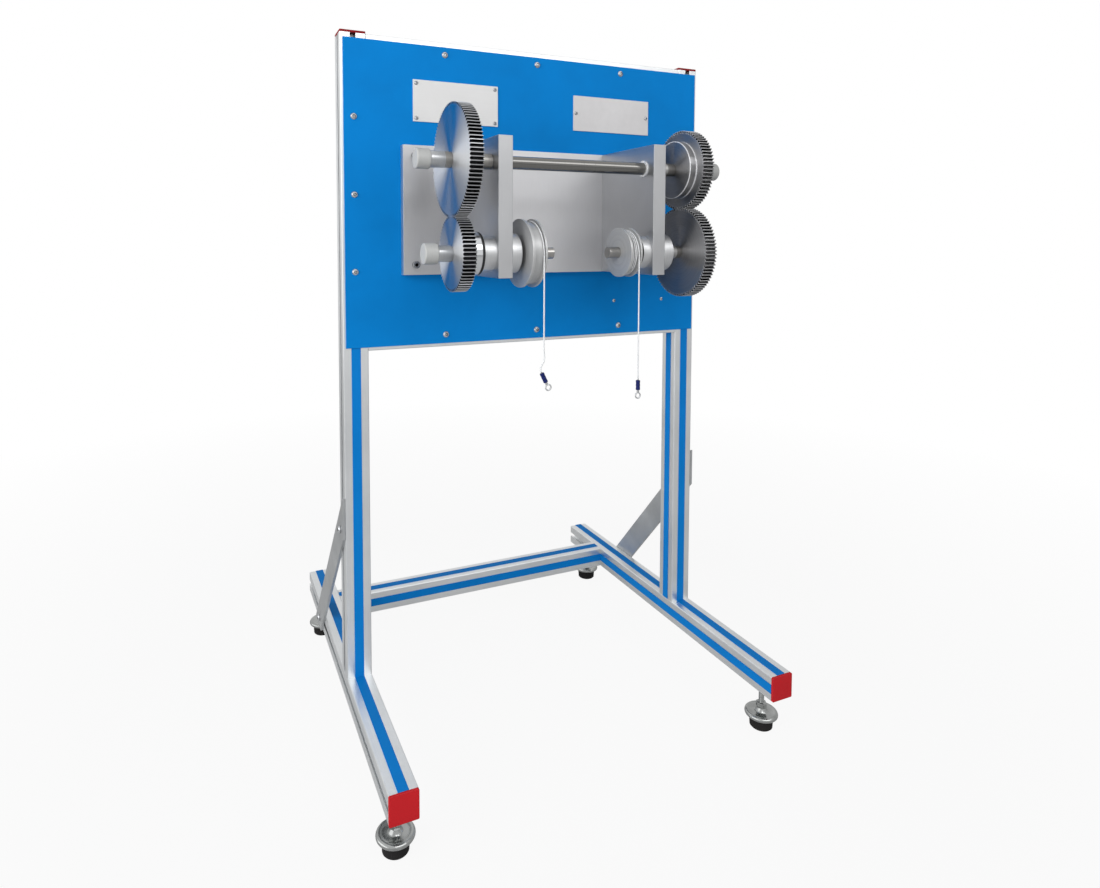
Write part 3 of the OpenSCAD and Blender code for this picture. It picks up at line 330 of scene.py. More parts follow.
def gap_shade(tree, radius, root, tip):
    """One on a tooth's tip, on end faces and well inside the root circle, and zero in the bottom of a gap."""
    normal = add(tree, "ShaderNodeNewGeometry").outputs["Normal"]
    facing = add(tree, "ShaderNodeSeparateXYZ", {0: normal}).outputs[0]
    end_face = between(tree, maths(tree, "ABSOLUTE", facing), 0.6, 0.9)
    inside = between(tree, radius, root - ROOT_BAND[0], root - ROOT_BAND[1], 1.0, 0.0)
    on_tip = between(tree, radius, tip - TIP_BAND, tip)
    return maths(tree, "MAXIMUM", maths(tree, "MAXIMUM", end_face, inside), on_tip)


def highlight_ring(tree, along, radius, ring_x, ring_radius):
    """One within a millimetre of a circle round the axis, where a highlight is painted, and zero away from
    it.
    """
    offset = add(tree, "ShaderNodeCombineXYZ", {0: maths(tree, "SUBTRACT", along, ring_x),
                                                1: maths(tree, "SUBTRACT", radius, ring_radius)}).outputs[0]
    distance = add(tree, "ShaderNodeVectorMath", {0: offset}, operation="LENGTH").outputs[1]
    return between(tree, distance, 0.0016, 0.001)


def turned_metal(name, axis, dark, light, rough, stretch, rings=1100.0, rounding=0.0004, depth=0.000006,
                 rubbed=0.4, teeth=None, edge_colour=None, metallic=1.0, highlight_rings=(), painted_highlight_span=None):
    """Metal from a lathe; teeth is a gear's root and tip radius, and a given span along X gets a painted
    highlight.
    """
    finish, tree, shader, place = start_finish(name)
    along = add(tree, "ShaderNodeSeparateXYZ", {0: place}).outputs[0]
    marks = use(tree, lathe_marks, {"Position": place, "Axis": axis, "Rings per metre": rings})
    edges = use(tree, rubbed_edges, {"Rounding": rounding})
    tone = marks.outputs["Tone"]
    body = blend_colours(tree, between(tree, tone, 0.3, 0.7), dark, light)
    bright = edge_colour or scaled(light, 1.3)
    # The bottoms of the tooth gaps are darkened: painted shade with some grime.
    if teeth:
        body = blend_colours(tree, gap_shade(tree, marks.outputs["Radius"], *teeth), GAP_SHADE_AND_GRIME, body)
    worn = maths(tree, "MULTIPLY", edges.outputs["Edge"], rubbed)
    # Painted highlight rings join the worn-edge mask here.
    for ring_x, ring_radius in highlight_rings:
        ring = highlight_ring(tree, along, marks.outputs["Radius"], ring_x, ring_radius)
        worn = maths(tree, "MAXIMUM", worn, ring)
    if painted_highlight_span:
        inside = maths(tree, "MULTIPLY", maths(tree, "GREATER_THAN", along, painted_highlight_span[0]),
                       maths(tree, "LESS_THAN", along, painted_highlight_span[1]))
        # Painted highlight: inside the span along X the colour is lighter.
        body = blend_colours(tree, inside, body, linear(228, 227, 225))
    tree.links.new(blend_colours(tree, worn, body, bright), shader.inputs["Base Color"])
    tree.links.new(between(tree, tone, 0.3, 0.7, rough[0], rough[1]), shader.inputs["Roughness"])
    tree.links.new(between(tree, worn, 0.0, 1.0, metallic, 0.4 * metallic), shader.inputs["Metallic"])
    shader.inputs["Anisotropic"].default_value = stretch
    shader.inputs["Anisotropic Rotation"].default_value = QUARTER_TURN
    round_x = add(tree, "ShaderNodeTangent", direction_type="RADIAL", axis="X")
    tree.links.new(round_x.outputs[0], shader.inputs["Tangent"])
    bump(tree, shader, tone, depth, edges.outputs["Normal"])
    return finish


bright_dark = linear(184, 186, 189)
bright_light = linear(204, 206, 209)
bright_rough = (0.36, 0.44)
gear_bright_upper = turned_metal("gear_bright_upper", UPPER_AXIS, bright_dark, bright_light,
                                 bright_rough, 1.0, teeth=(0.0885, 0.0917))
gear_bright_lower = turned_metal("gear_bright_lower", LOWER_AXIS, bright_dark, bright_light,
                                 bright_rough, 1.0, teeth=(0.0585, 0.0617))
black_dark = linear(144, 144, 146)
black_light = linear(168, 168, 170)
# Bare steel on worn edges; the same colour paints the highlight rings on the boss.
bare_steel_and_highlight = linear(226, 227, 229)
gear_dark_upper = turned_metal("gear_dark_upper", UPPER_AXIS, black_dark, black_light, (0.34, 0.42), 1.0,
                               teeth=(0.0685, 0.0717), rounding=0.0009, rubbed=1.0, edge_colour=bare_steel_and_highlight,
                               highlight_rings=[(0.199, 0.052), (0.2125, 0.052)])
gear_dark_lower = turned_metal("gear_dark_lower", LOWER_AXIS, black_dark, black_light, (0.34, 0.42), 1.0,
                               teeth=(0.0785, 0.0817), rounding=0.0009, rubbed=1.0, edge_colour=bare_steel_and_highlight)
housing_turned = turned_metal("housing_turned", LOWER_AXIS, linear(206, 207, 209), linear(222, 223, 224),
                              (0.4, 0.48), 0.4, metallic=0.92)
pulley_turned = turned_metal("pulley_turned", LOWER_AXIS, linear(172, 173, 174), linear(192, 193, 193),
                             (0.4, 0.48), 0.3, rounding=0.001, rubbed=0.8, metallic=0.6)
shaft_ground_upper = turned_metal("shaft_ground_upper", UPPER_AXIS, linear(122, 121, 119),
                                  linear(132, 131, 128), (0.1, 0.13), 0.4, depth=0.000001)
shaft_ground_lower = turned_metal("shaft_ground_lower", LOWER_AXIS, linear(162, 160, 157),
                                  linear(178, 176, 173), (0.12, 0.16), 0.4, depth=0.000001)
spacer_dark = linear(150, 148, 144)
spacer_light = linear(176, 174, 170)
# The right spacers get a painted highlight near the bracket.
spacer_upper = turned_metal("spacer_upper", UPPER_AXIS, spacer_dark, spacer_light, (0.34, 0.44), 0.0,
                            painted_highlight_span=(0.16, 0.182))
spacer_lower = turned_metal("spacer_lower", LOWER_AXIS, spacer_dark, spacer_light, (0.42, 0.5), 0.0,
                            painted_highlight_span=(0.18, 0.204))
bearing_ground = turned_metal("bearing_ground", UPPER_AXIS, linear(218, 219, 220), linear(236, 237, 238),
                              (0.2, 0.3), 0.0, metallic=0.5)
print("turned metals:", gear_bright_upper.name, gear_dark_upper.name, housing_turned.name, pulley_turned.name)

# %% [markdown]
# ## Screws, feet and keys
#
# Zinc plating is a little bluish, with cloudy brightness, and it has no direction. The sockets of the
# screws are darkened as painted shade. An Ambient Occlusion node finds such hollows, wherever the screws
# are, without a list of their places.

# %% Plated metal
def plated_metal(name, dark, light, rough, rounding=0.0004, patches=130.0, hollows=None, thread=None):
    """Plated steel; hollows is how far the painted shade looks for hollows, thread draws a screw thread."""
    finish, tree, shader, place = start_finish(name)
    cloud = use(tree, soft_patches, {"Position": place, "Patches per metre": patches}).outputs["Tone"]
    edges = use(tree, rubbed_edges, {"Rounding": rounding})
    shown = blend_colours(tree, cloud, dark, light)
    if hollows:
        open_sky = add(tree, "ShaderNodeAmbientOcclusion", {"Distance": hollows}, samples=8).outputs["AO"]
        # Painted shade in the screw sockets and other hollows.
        shown = blend_colours(tree, between(tree, open_sky, 0.68, 0.95), SOCKET_SHADE, shown)
    tree.links.new(shown, shader.inputs["Base Color"])
    tree.links.new(between(tree, cloud, 0.0, 1.0, rough[0], rough[1]), shader.inputs["Roughness"])
    shader.inputs["Metallic"].default_value = 1.0
    if thread:
        bump(tree, shader, thread(tree, place), 0.0005, edges.outputs["Normal"], strength=0.4)
    else:
        bump(tree, shader, cloud, 0.00001, edges.outputs["Normal"])
    return finish


# Colour of the painted shade in hollows.
SOCKET_SHADE = linear(22, 22, 24)
zinc_plate = plated_metal("zinc_plate", linear(196, 199, 203), linear(226, 228, 231), (0.2, 0.3),
                          hollows=0.006)
print("plated metal:", zinc_plate.name)

# %% [markdown]
# The feet are bright plated steel, and their studs carry a screw thread of 1.5 mm. Cutting it into the
# mesh would cost thousands of faces. As bump it is a ridge that climbs as it goes round. All four studs
# share one formula, because the feet stand in a rectangle: folding X and Y at its middle lays them on one
# another.

# %% Threaded feet
FOOT_MIDDLE_Y, FOOT_HALF_X, FOOT_HALF_Y = 0.002, 0.3525, 0.328
THREAD_PITCH, STUD_RADIUS, HEXAGON_TOP = 0.0015, 0.0053, 0.0465


def stud_thread(tree, place):
    """A ridge that climbs round the stud above the hexagon, and zero elsewhere."""
    x, y, z = add(tree, "ShaderNodeSeparateXYZ", {0: place}).outputs
    along_x = maths(tree, "SUBTRACT", maths(tree, "ABSOLUTE", x), FOOT_HALF_X)
    middle_y = maths(tree, "ABSOLUTE", maths(tree, "SUBTRACT", y, FOOT_MIDDLE_Y))
    along_y = maths(tree, "SUBTRACT", middle_y, FOOT_HALF_Y)
    turn = maths(tree, "ARCTAN2", along_y, along_x)
    climb = maths(tree, "MULTIPLY", z, math.tau / THREAD_PITCH)
    ridge = between(tree, maths(tree, "SINE", maths(tree, "ADD", climb, turn)), -1.0, 1.0)
    flat = add(tree, "ShaderNodeCombineXYZ", {0: along_x, 1: along_y}).outputs[0]
    radius = add(tree, "ShaderNodeVectorMath", {0: flat}, operation="LENGTH").outputs[1]
    on_stud = maths(tree, "MULTIPLY", maths(tree, "LESS_THAN", radius, STUD_RADIUS),
                    maths(tree, "GREATER_THAN", z, HEXAGON_TOP))
    return maths(tree, "MULTIPLY", ridge, on_stud)


foot_plate = plated_metal("foot_plate", linear(158, 160, 159), linear(184, 186, 185), (0.14, 0.22),
                          rounding=0.0008, patches=40.0, thread=stud_thread)
print("threaded feet:", foot_plate.name)

# %% [markdown]
# ## Paint, plastic and rubber
#
# The panel is painted sheet, the cover strips and end caps are moulded plastic, and the pads are rubber.
# They are not metals, so their colour is in the body and the gloss lies on top. A fine noise gives paint
# its orange peel, plastic its eroded mould grain and rubber its dull skin. One finish is made darker
# above a given height, so the caps on the uprights come out a darker red than those on the rails.

# %% Coloured skins
def coloured_skin(name, colour, rough, grain, depth, rounding=0.0008, worn=0.15, patches=10.0,
                  gloss=0.1, darker_above=None):
    """Paint, plastic or rubber; grain is the number of pores per metre, and above a given height the colour
    is made darker.
    """
    finish, tree, shader, place = start_finish(name)
    patch = use(tree, soft_patches, {"Position": place, "Patches per metre": patches}).outputs["Tone"]
    edges = use(tree, rubbed_edges, {"Rounding": rounding})
    pores = add(tree, "ShaderNodeTexNoise", {"Vector": place, "Scale": grain, "Detail": 2.0}).outputs["Fac"]
    body = blend_colours(tree, patch, scaled(colour, 0.94), scaled(colour, 1.05))
    rubbed = maths(tree, "MULTIPLY", edges.outputs["Edge"], worn)
    shown = blend_colours(tree, rubbed, body, scaled(colour, 1.4, lift=0.05))
    # The colour is made darker above the given height.
    if darker_above:
        height = add(tree, "ShaderNodeSeparateXYZ", {0: place}).outputs[2]
        is_above = maths(tree, "GREATER_THAN", height, darker_above)
        shown = blend_colours(tree, is_above, shown, scaled(colour, 0.42))
    tree.links.new(shown, shader.inputs["Base Color"])
    tree.links.new(between(tree, patch, 0.0, 1.0, rough[0], rough[1]), shader.inputs["Roughness"])
    shader.inputs["Specular IOR Level"].default_value = gloss
    bump(tree, shader, pores, depth, edges.outputs["Normal"], strength=0.35)
    return finish


panel_paint = coloured_skin("panel_paint", linear(6, 113, 184), (0.5, 0.58), 900.0, 0.00002, gloss=0.04)
strip_plastic = coloured_skin("strip_plastic", linear(8, 110, 183), (0.46, 0.54), 1500.0, 0.00002, gloss=0.06)
cap_plastic = coloured_skin("cap_plastic", linear(177, 30, 36), (0.45, 0.58), 2200.0, 0.00003,
                            rounding=0.0012, worn=0.4, darker_above=1.0)
pad_rubber = coloured_skin("pad_rubber", linear(34, 33, 33), (0.6, 0.8), 1600.0, 0.00005, rounding=0.001)
print("skins:", panel_paint.name, strip_plastic.name, cap_plastic.name, pad_rubber.name)

# %% [markdown]
# ## Two finishes on one piece
#
# Some CAD solids hold two finishes: a knob has a pale powder-coated head on a turned aluminium hub, and
# the bright collar ends in a black rubber seal. Two objects would also do, but the border lies at one
# place along X, so a step on the X coordinate chooses between the two finishes inside one material.

# %% Knobs and the sealed collar
HALF_BORDER = 0.00025


def step_along_x(tree, place, border):
    """One beyond the border, zero before it, with a soft half millimetre between."""
    along = add(tree, "ShaderNodeSeparateXYZ", {0: place}).outputs[0]
    return between(tree, along, border - HALF_BORDER, border + HALF_BORDER)


def knob_finish(name, axis, border, head_beyond):
    """A coated head on a turned hub; the head lies beyond the border along X, or before it."""
    finish, tree, shader, place = start_finish(name)
    side = step_along_x(tree, place, border)
    head = side if head_beyond else maths(tree, "SUBTRACT", 1.0, side)
    hub_marks = {"Position": place, "Axis": axis, "Rings per metre": 1400.0}
    marks = use(tree, lathe_marks, hub_marks).outputs["Tone"]
    edges = use(tree, rubbed_edges, {"Rounding": 0.0007})
    clear_marks = between(tree, marks, 0.3, 0.7)
    hub = blend_colours(tree, clear_marks, linear(172, 174, 176), linear(206, 208, 210))
    coat = blend_colours(tree, clear_marks, linear(160, 161, 160), linear(170, 171, 170))
    tree.links.new(blend_colours(tree, head, hub, coat), shader.inputs["Base Color"])
    tree.links.new(between(tree, head, 0.0, 1.0, 1.0, 0.12), shader.inputs["Metallic"])
    tree.links.new(between(tree, head, 0.0, 1.0, 0.3, 0.58), shader.inputs["Roughness"])
    bump(tree, shader, marks, 0.00001, edges.outputs["Normal"])
    return finish


knob_finishes = {
    "upper_left_knob": knob_finish("knob_upper_left", UPPER_AXIS, -0.267, False),
    "upper_right_knob": knob_finish("knob_upper_right", UPPER_AXIS, 0.272, True),
    "lower_left_knob": knob_finish("knob_lower_left", LOWER_AXIS, -0.255, False),
    "lower_right_knob": knob_finish("knob_lower_right", LOWER_AXIS, 0.260, True),
}

collar_chrome, tree, shader, place = start_finish("collar_chrome")
seal = step_along_x(tree, place, border=-0.1895)
collar_marks = {"Position": place, "Axis": LOWER_AXIS, "Rings per metre": 500.0}
marks = use(tree, lathe_marks, collar_marks).outputs["Tone"]
edges = use(tree, rubbed_edges, {"Rounding": 0.0006})
chrome = blend_colours(tree, marks, linear(205, 207, 210), linear(232, 233, 235))
tree.links.new(blend_colours(tree, seal, chrome, linear(26, 26, 27)), shader.inputs["Base Color"])
tree.links.new(between(tree, seal, 0.0, 1.0, 1.0, 0.0), shader.inputs["Metallic"])
tree.links.new(between(tree, seal, 0.0, 1.0, 0.1, 0.6), shader.inputs["Roughness"])
bump(tree, shader, marks, 0.000006, edges.outputs["Normal"])
print("finishes with a border:", list(knob_finishes), collar_chrome.name)

# %% [markdown]
# ## Dressing the CAD solids
#
# The solids already have the right shapes, so they only need their finishes. A table from solid to finish
# is easier to check than a line for each solid.

# %% Finish of every solid
solid_finishes = {
    profile_along_y: ["left_rail", "right_rail"],
    profile_along_z: ["left_upright", "right_upright"],
    profile_along_x: ["rear_crossbar", "top_crossbar", "panel_crossbar"],
    cap_plastic: ["end_caps"],
    brace_bar: ["left_brace", "right_brace"],
    zinc_plate: ["brace_bolts", "frame_joint_bolts", "foot_inserts", "panel_screws", "small_screws",
                 "back_plate_screws", "bracket_screws", "upper_keys", "left_keys", "right_keys"],
    strip_plastic: ["cover_strips"],
    panel_paint: ["panel"],
    name_plate: ["title_plate"],
    small_plate: ["side_plate"],
    milled_plate: ["back_plate"],
    milled_bracket_shaded: ["left_bracket", "right_bracket"],
    bearing_ground: ["shaft_bearings"],
    housing_turned: ["left_bearing_housing", "right_bearing_housing"],
    shaft_ground_upper: ["upper_shaft"],
    shaft_ground_lower: ["left_shaft", "right_shaft"],
    gear_bright_upper: ["upper_left_gear"],
    gear_bright_lower: ["lower_left_gear"],
    gear_dark_upper: ["upper_right_gear"],
    gear_dark_lower: ["lower_right_gear"],
    spacer_upper: ["upper_spacers"],
    spacer_lower: ["right_spacer"],
    collar_chrome: ["left_collar"],
    pulley_turned: ["left_pulley", "right_pulley"],
    pad_rubber: ["front_left_pad", "front_right_pad", "rear_left_pad", "rear_right_pad"],
}


def dress(node, finish):
    """Gives every material slot of a CAD solid one finish."""
    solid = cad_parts[node]
    if solid.data.materials:
        for number in range(len(solid.data.materials)):
            solid.data.materials[number] = finish
    else:
        solid.data.materials.append(finish)


for finish, solids in solid_finishes.items():
    for node in solids:
        dress(node, finish)
for node, finish in knob_finishes.items():
    dress(node, finish)
dressed = sum(len(solids) for solids in solid_finishes.values()) + len(knob_finishes)
print("dressed", dressed, "of", len(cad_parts), "solids; the rest are cords, their ends and the feet")

# %% [markdown]
# ## The cord's finish
#
# The cord is a thin white braid. Two sets of strands cross it in opposite spirals. They follow the cord,
# so the pattern reads the cord's own UV map: one way round, the other way along in metres. Where turns lie
# close together the braid is darkened as painted shade, and an Ambient Occlusion node finds these places.

# %% Braided cord material
CORD_UV = "along_cord"
STRANDS_ROUND = 4.0
BRAID_PITCH = 0.0026
cord_braid, tree, shader, _ = start_finish("cord_braid")
cord_uv = add(tree, "ShaderNodeUVMap", uv_map=CORD_UV).outputs[0]
uv_parts = add(tree, "ShaderNodeSeparateXYZ", {0: cord_uv})
turn = maths(tree, "MULTIPLY", uv_parts.outputs[0], STRANDS_ROUND)
climb = maths(tree, "MULTIPLY", uv_parts.outputs[1], 1.0 / BRAID_PITCH)
strands = []
for operation in ("ADD", "SUBTRACT"):
    phase = maths(tree, "MULTIPLY", maths(tree, operation, climb, turn), math.tau)
    strands.append(maths(tree, "SINE", phase))
weave = between(tree, maths(tree, "MAXIMUM", strands[0], strands[1]), -0.6, 1.0)
open_sky = add(tree, "ShaderNodeAmbientOcclusion", {"Distance": 0.002}, samples=8).outputs["AO"]
braid = blend_colours(tree, weave, linear(172, 174, 177), linear(218, 219, 220))
# Painted shade where the cord's turns lie close together.
braid_with_painted_shade = blend_colours(tree, between(tree, open_sky, 0.45, 0.85), linear(52, 51, 50), braid)
tree.links.new(braid_with_painted_shade, shader.inputs["Base Color"])
tree.links.new(between(tree, weave, 0.0, 1.0, 0.85, 0.6), shader.inputs["Roughness"])
bump(tree, shader, weave, 0.00012, strength=0.7)
shader.inputs["Sheen Weight"].default_value = 0.2
print("made", cord_braid.name)

# %% [markdown]
# ## One tree for every length of cord
#
# A cord is a round section carried along a path. Geometry Nodes do that in a few nodes: the path becomes
# a curve, an open full-circle arc is swept along it, and the arc's own parameter and the length along the
# path become the UV map. An open arc keeps a clean seam in the UV map. The seam is then merged, so the
# tube is closed.

# %% Cord tree
cord_tree = bpy.data.node_groups.new("cord_along_path", "GeometryNodeTree")
cord_tree.interface.new_socket("Path", in_out="INPUT", socket_type="NodeSocketGeometry")
cord_inputs = {}
for label, kind, value in (("Thickness", VALUE, 0.0024), ("Sides", "NodeSocketInt", 16),
                           ("Finish", "NodeSocketMaterial", None)):
    made = cord_tree.interface.new_socket(label, in_out="INPUT", socket_type=kind)
    if value is not None:
        made.default_value = value
    cord_inputs[label] = made.identifier
cord_tree.interface.new_socket("Cord", in_out="OUTPUT", socket_type="NodeSocketGeometry")
given = cord_tree.nodes.new("NodeGroupInput")
result = cord_tree.nodes.new("NodeGroupOutput")
line = add(cord_tree, "GeometryNodeMeshToCurve", {"Mesh": given.outputs["Path"]})
measure = add(cord_tree, "GeometryNodeSplineParameter")
keep_length = add(cord_tree, "GeometryNodeCaptureAttribute", {"Geometry": line.outputs[0]})
keep_length.capture_items.new("FLOAT", "along")
cord_tree.links.new(measure.outputs["Length"], keep_length.inputs["along"])
half = maths(cord_tree, "MULTIPLY", given.outputs["Thickness"], 0.5)
corners = maths(cord_tree, "ADD", given.outputs["Sides"], 1.0)
section = add(cord_tree, "GeometryNodeCurveArc",
              {"Resolution": corners, "Radius": half, "Start Angle": 0.0, "Sweep Angle": math.tau})
keep_turn = add(cord_tree, "GeometryNodeCaptureAttribute", {"Geometry": section.outputs[0]})
keep_turn.capture_items.new("FLOAT", "round")
cord_tree.links.new(measure.outputs["Factor"], keep_turn.inputs["round"])
swept = add(cord_tree, "GeometryNodeCurveToMesh",
            {"Curve": keep_length.outputs["Geometry"], "Profile Curve": keep_turn.outputs["Geometry"]})
uv_value = add(cord_tree, "ShaderNodeCombineXYZ",
               {0: keep_turn.outputs["round"], 1: keep_length.outputs["along"]}).outputs[0]
mapped = add(cord_tree, "GeometryNodeStoreNamedAttribute",
             {"Geometry": swept.outputs[0], "Name": CORD_UV, "Value": uv_value},
             data_type="FLOAT2", domain="CORNER")
closed = add(cord_tree, "GeometryNodeMergeByDistance", {"Geometry": mapped.outputs[0], "Distance": 0.00001})
smooth = add(cord_tree, "GeometryNodeSetShadeSmooth", {"Geometry": closed.outputs[0]})
whole = add(cord_tree, "GeometryNodeRealizeInstances", {"Geometry": smooth.outputs[0]})
painted = add(cord_tree, "GeometryNodeSetMaterial",
              {"Geometry": whole.outputs[0], "Material": given.outputs["Finish"]})
cord_tree.links.new(painted.outputs[0], result.inputs["Cord"])
print("cord tree inputs:", cord_inputs)

# %% [markdown]
# A tree needs an object to work on. Here it is a mesh that is only a line of points. The evaluated result
# is copied into a plain mesh, its two ends are closed, and its faces are turned outwards.

# %% Cord maker
CORD_THICKNESS = 0.0024


def cord_piece(name, route, thickness=CORD_THICKNESS, sides=16):
    """Sweeps the cord along a route in metres and returns a plain mesh object at the origin."""
    path = bpy.data.meshes.new(name + "_path")
    path.from_pydata([tuple(point) for point in route], [(i, i + 1) for i in range(len(route) - 1)], [])
    piece = bpy.data.objects.new(name, path)
    scene.collection.objects.link(piece)
    sweep = piece.modifiers.new("cord", "NODES")
    sweep.node_group = cord_tree
    sweep[cord_inputs["Thickness"]] = thickness
    sweep[cord_inputs["Sides"]] = sides
    sweep[cord_inputs["Finish"]] = cord_braid
    seen = bpy.context.evaluated_depsgraph_get()
    mesh = bpy.data.meshes.new_from_object(piece.evaluated_get(seen), preserve_all_data_layers=True,
                                           depsgraph=seen)
    piece.modifiers.remove(sweep)
    piece.data = mesh
    bpy.data.meshes.remove(path)
    shell = bmesh.new()
    shell.from_mesh(mesh)
    open_edges = [edge for edge in shell.edges if edge.is_boundary]
    bmesh.ops.holes_fill(shell, edges=open_edges, sides=0)
    bmesh.ops.recalc_face_normals(shell, faces=shell.faces)
    shell.to_mesh(mesh)
    shell.free()
    mesh.name = name
    return piece


def route_length(route):
    """The length of a route from point to point."""
    return sum((Vector(b) - Vector(a)).length for a, b in zip(route, route[1:]))


print("cord maker ready")

# %% [markdown]
# ## The hanging cords
#
# Each cord leaves its pulley at the front, level with the shaft, and hangs straight down. The left one
# has a slight set near its end, as a thin braid keeps from its coil.

# %% Hanging cords
LEFT_LEAVE = Vector((-0.0897, -0.29176, 0.8886))
RIGHT_LEAVE = Vector((0.1023, -0.27764, 0.8886))

CORD_STEP = 0.006
LEFT_STRAIGHT_STEPS, RIGHT_STRAIGHT_STEPS = 26, 37

left_offsets = [(0.0, 0.0, -CORD_STEP * step) for step in range(LEFT_STRAIGHT_STEPS + 1)]
left_offsets += [(0.0005, 0.0, -0.162), (0.001, 0.0, -0.168), (0.0, 0.0, -0.174), (-0.0035, 0.0, -0.179),
                 (-0.006, 0.0, -0.184), (-0.006, 0.0, -0.189), (-0.004, 0.0, -0.193)]
right_offsets = [(0.0, 0.0, -CORD_STEP * step) for step in range(RIGHT_STRAIGHT_STEPS + 1)]
left_route = [LEFT_LEAVE + Vector(offset) for offset in left_offsets]
right_route = [RIGHT_LEAVE + Vector(offset) for offset in right_offsets]
left_hanging_cord = cord_piece("left_hanging_cord", left_route)
right_hanging_cord = cord_piece("right_hanging_cord", right_route)
print("hanging lengths in mm:", [round(route_length(route) * 1000, 1) for route in (left_route, right_route)])

# %% [markdown]
# ## The wound cords
#
# On the left pulley the cord lies five eighths of a turn in the groove, and on the right one three turns.
# The route is a spiral: the radius is the groove's plus half a cord, and the place along X moves on a
# little with each turn. On the right it moves on faster at first, so the turn clears the hanging cord
# when the pulley unwinds. The last bend dives into the pulley's flange, where the cord is held.

# %% Wound cords
WINDING_GAP = 0.0001
STEPS_PER_TURN = 72
SETTLE_ANGLE, LEAD_ANGLE = 0.2, 0.6
TUCK_BEND, TUCK_STEPS = 0.0026, 6


def winding_route(leave, flange_x, groove_radius, turns, end_x, lead=0.0):
    """The spiral from the hanging point over the top of the pulley; lead is its first move along X."""
    axis_y, axis_z = LOWER_AXIS[1], LOWER_AXIS[2]
    far = axis_y - leave.y
    near = groove_radius + 0.5 * CORD_THICKNESS + WINDING_GAP
    route = [leave.copy(), Vector((leave.x, leave.y, 0.5 * (leave.z + axis_z)))]
    steps = int(turns * STEPS_PER_TURN)
    for step in range(steps + 1):
        angle = turns * math.tau * step / steps
        radius = near + (far - near) * math.exp(-angle / SETTLE_ANGLE)
        x = leave.x + lead * (1 - math.exp(-angle / LEAD_ANGLE)) + (end_x - lead - leave.x) * step / steps
        route.append(Vector((x, axis_y - radius * math.cos(angle), axis_z + radius * math.sin(angle))))
    last = route[-1]
    heading = (route[-1] - route[-2]).normalized()
    toward = 1.0 if flange_x > last.x else -1.0
    for step in range(1, TUCK_STEPS + 1):
        angle = 0.5 * math.pi * step / TUCK_STEPS
        aside = Vector((toward * TUCK_BEND * (1 - math.cos(angle)), 0, 0))
        route.append(last + heading * TUCK_BEND * math.sin(angle) + aside)
    end = route[-1].copy()
    end.x = flange_x
    route.append(end)
    return route


left_wound_route = winding_route(LEFT_LEAVE, flange_x=-0.088, groove_radius=0.052, turns=0.625, end_x=-0.093)
right_wound_route = winding_route(RIGHT_LEAVE, flange_x=0.088, groove_radius=0.038, turns=3.0, end_x=0.0908,
                                  lead=-0.002)
left_wound_cord = cord_piece("left_wound_cord", left_wound_route)
right_wound_cord = cord_piece("right_wound_cord", right_wound_route)
wound_lengths = [round(route_length(route) * 1000) for route in (left_wound_route, right_wound_route)]
print("wound lengths in mm:", wound_lengths)

# %% [markdown]
# ## Ferrules and eyes
#
# Each cord ends in a crimped blue sleeve that holds a small eye for the weight hook. A plain cylinder
# would miss the crimps, so the sleeve is a stack of rings: its radius dips at two crimp bands and rounds
# off at both ends.

# %% Ring stack helper
def join_rings(shell, rings, closed=False):
    """Lays faces between neighbouring rings; closed also joins the last ring to the first."""
    for lower, upper in zip(rings, rings[1:] + (rings[:1] if closed else [])):
        for side in range(len(lower)):
            following = (side + 1) % len(lower)
            shell.faces.new((lower[side], lower[following], upper[following], upper[side]))


def ring_stack(shell, start, along, stations, sides=32):
    """Joins round or oval rings; a station is (distance along, half width across X, half width across Y)."""
    along = along.normalized()
    across_y = Vector((0.0, 1.0, 0.0))
    across_x = across_y.cross(along).normalized()
    rings = []
    for distance, half_x, half_y in stations:
        centre = start + along * distance
        ring = []
        for side in range(sides):
            angle = math.tau * side / sides
            ring.append(shell.verts.new(centre + across_x * half_x * math.cos(angle)
                                        + across_y * half_y * math.sin(angle)))
        rings.append(ring)
    join_rings(shell, rings)
    shell.faces.new(rings[0][::-1])
    shell.faces.new(rings[-1])


def finish_shell(shell, name, finish):
    """Merges, turns the faces outwards and returns the piece with smooth faces and its finish."""
    bmesh.ops.remove_doubles(shell, verts=shell.verts, dist=0.000001)
    bmesh.ops.recalc_face_normals(shell, faces=shell.faces)
    mesh = bpy.data.meshes.new(name)
    shell.to_mesh(mesh)
    shell.free()
    mesh.materials.append(finish)
    for face in mesh.polygons:
        face.use_smooth = True
    piece = bpy.data.objects.new(name, mesh)
    scene.collection.objects.link(piece)
    return piece


print("ring stacks ready")

# %% Ferrules
ferrule_blue = coloured_skin("ferrule_blue", linear(26, 34, 86), (0.3, 0.42), 1800.0, 0.00002,
                             rounding=0.0003, worn=0.35, patches=160.0)
FERRULE_MM = 17.0
ROUND_END = [(0.0, 2.2), (0.0, 3.2), (0.3, 3.7), (0.9, 3.8)]
CRIMP = [(0.0, 3.8, 3.8), (0.6, 3.7, 3.45), (1.2, 3.65, 3.2),
         (2.6, 3.65, 3.2), (3.2, 3.7, 3.45), (3.8, 3.8, 3.8)]
CRIMP_STARTS = (3.6, 9.8)


def ferrule_piece(name, cord_end, along):
    """A sleeve with two round ends and two crimps; its stations are in millimetres."""
    stations = [(distance, half, half) for distance, half in ROUND_END]
    for start in CRIMP_STARTS:
        stations += [(start + distance, half_x, half_y) for distance, half_x, half_y in CRIMP]
    stations += [(FERRULE_MM - distance, half, half) for distance, half in reversed(ROUND_END)]
    shell = bmesh.new()
    ring_stack(shell, cord_end, along, [tuple(part / 1000 for part in station) for station in stations])
    return finish_shell(shell, name, ferrule_blue)


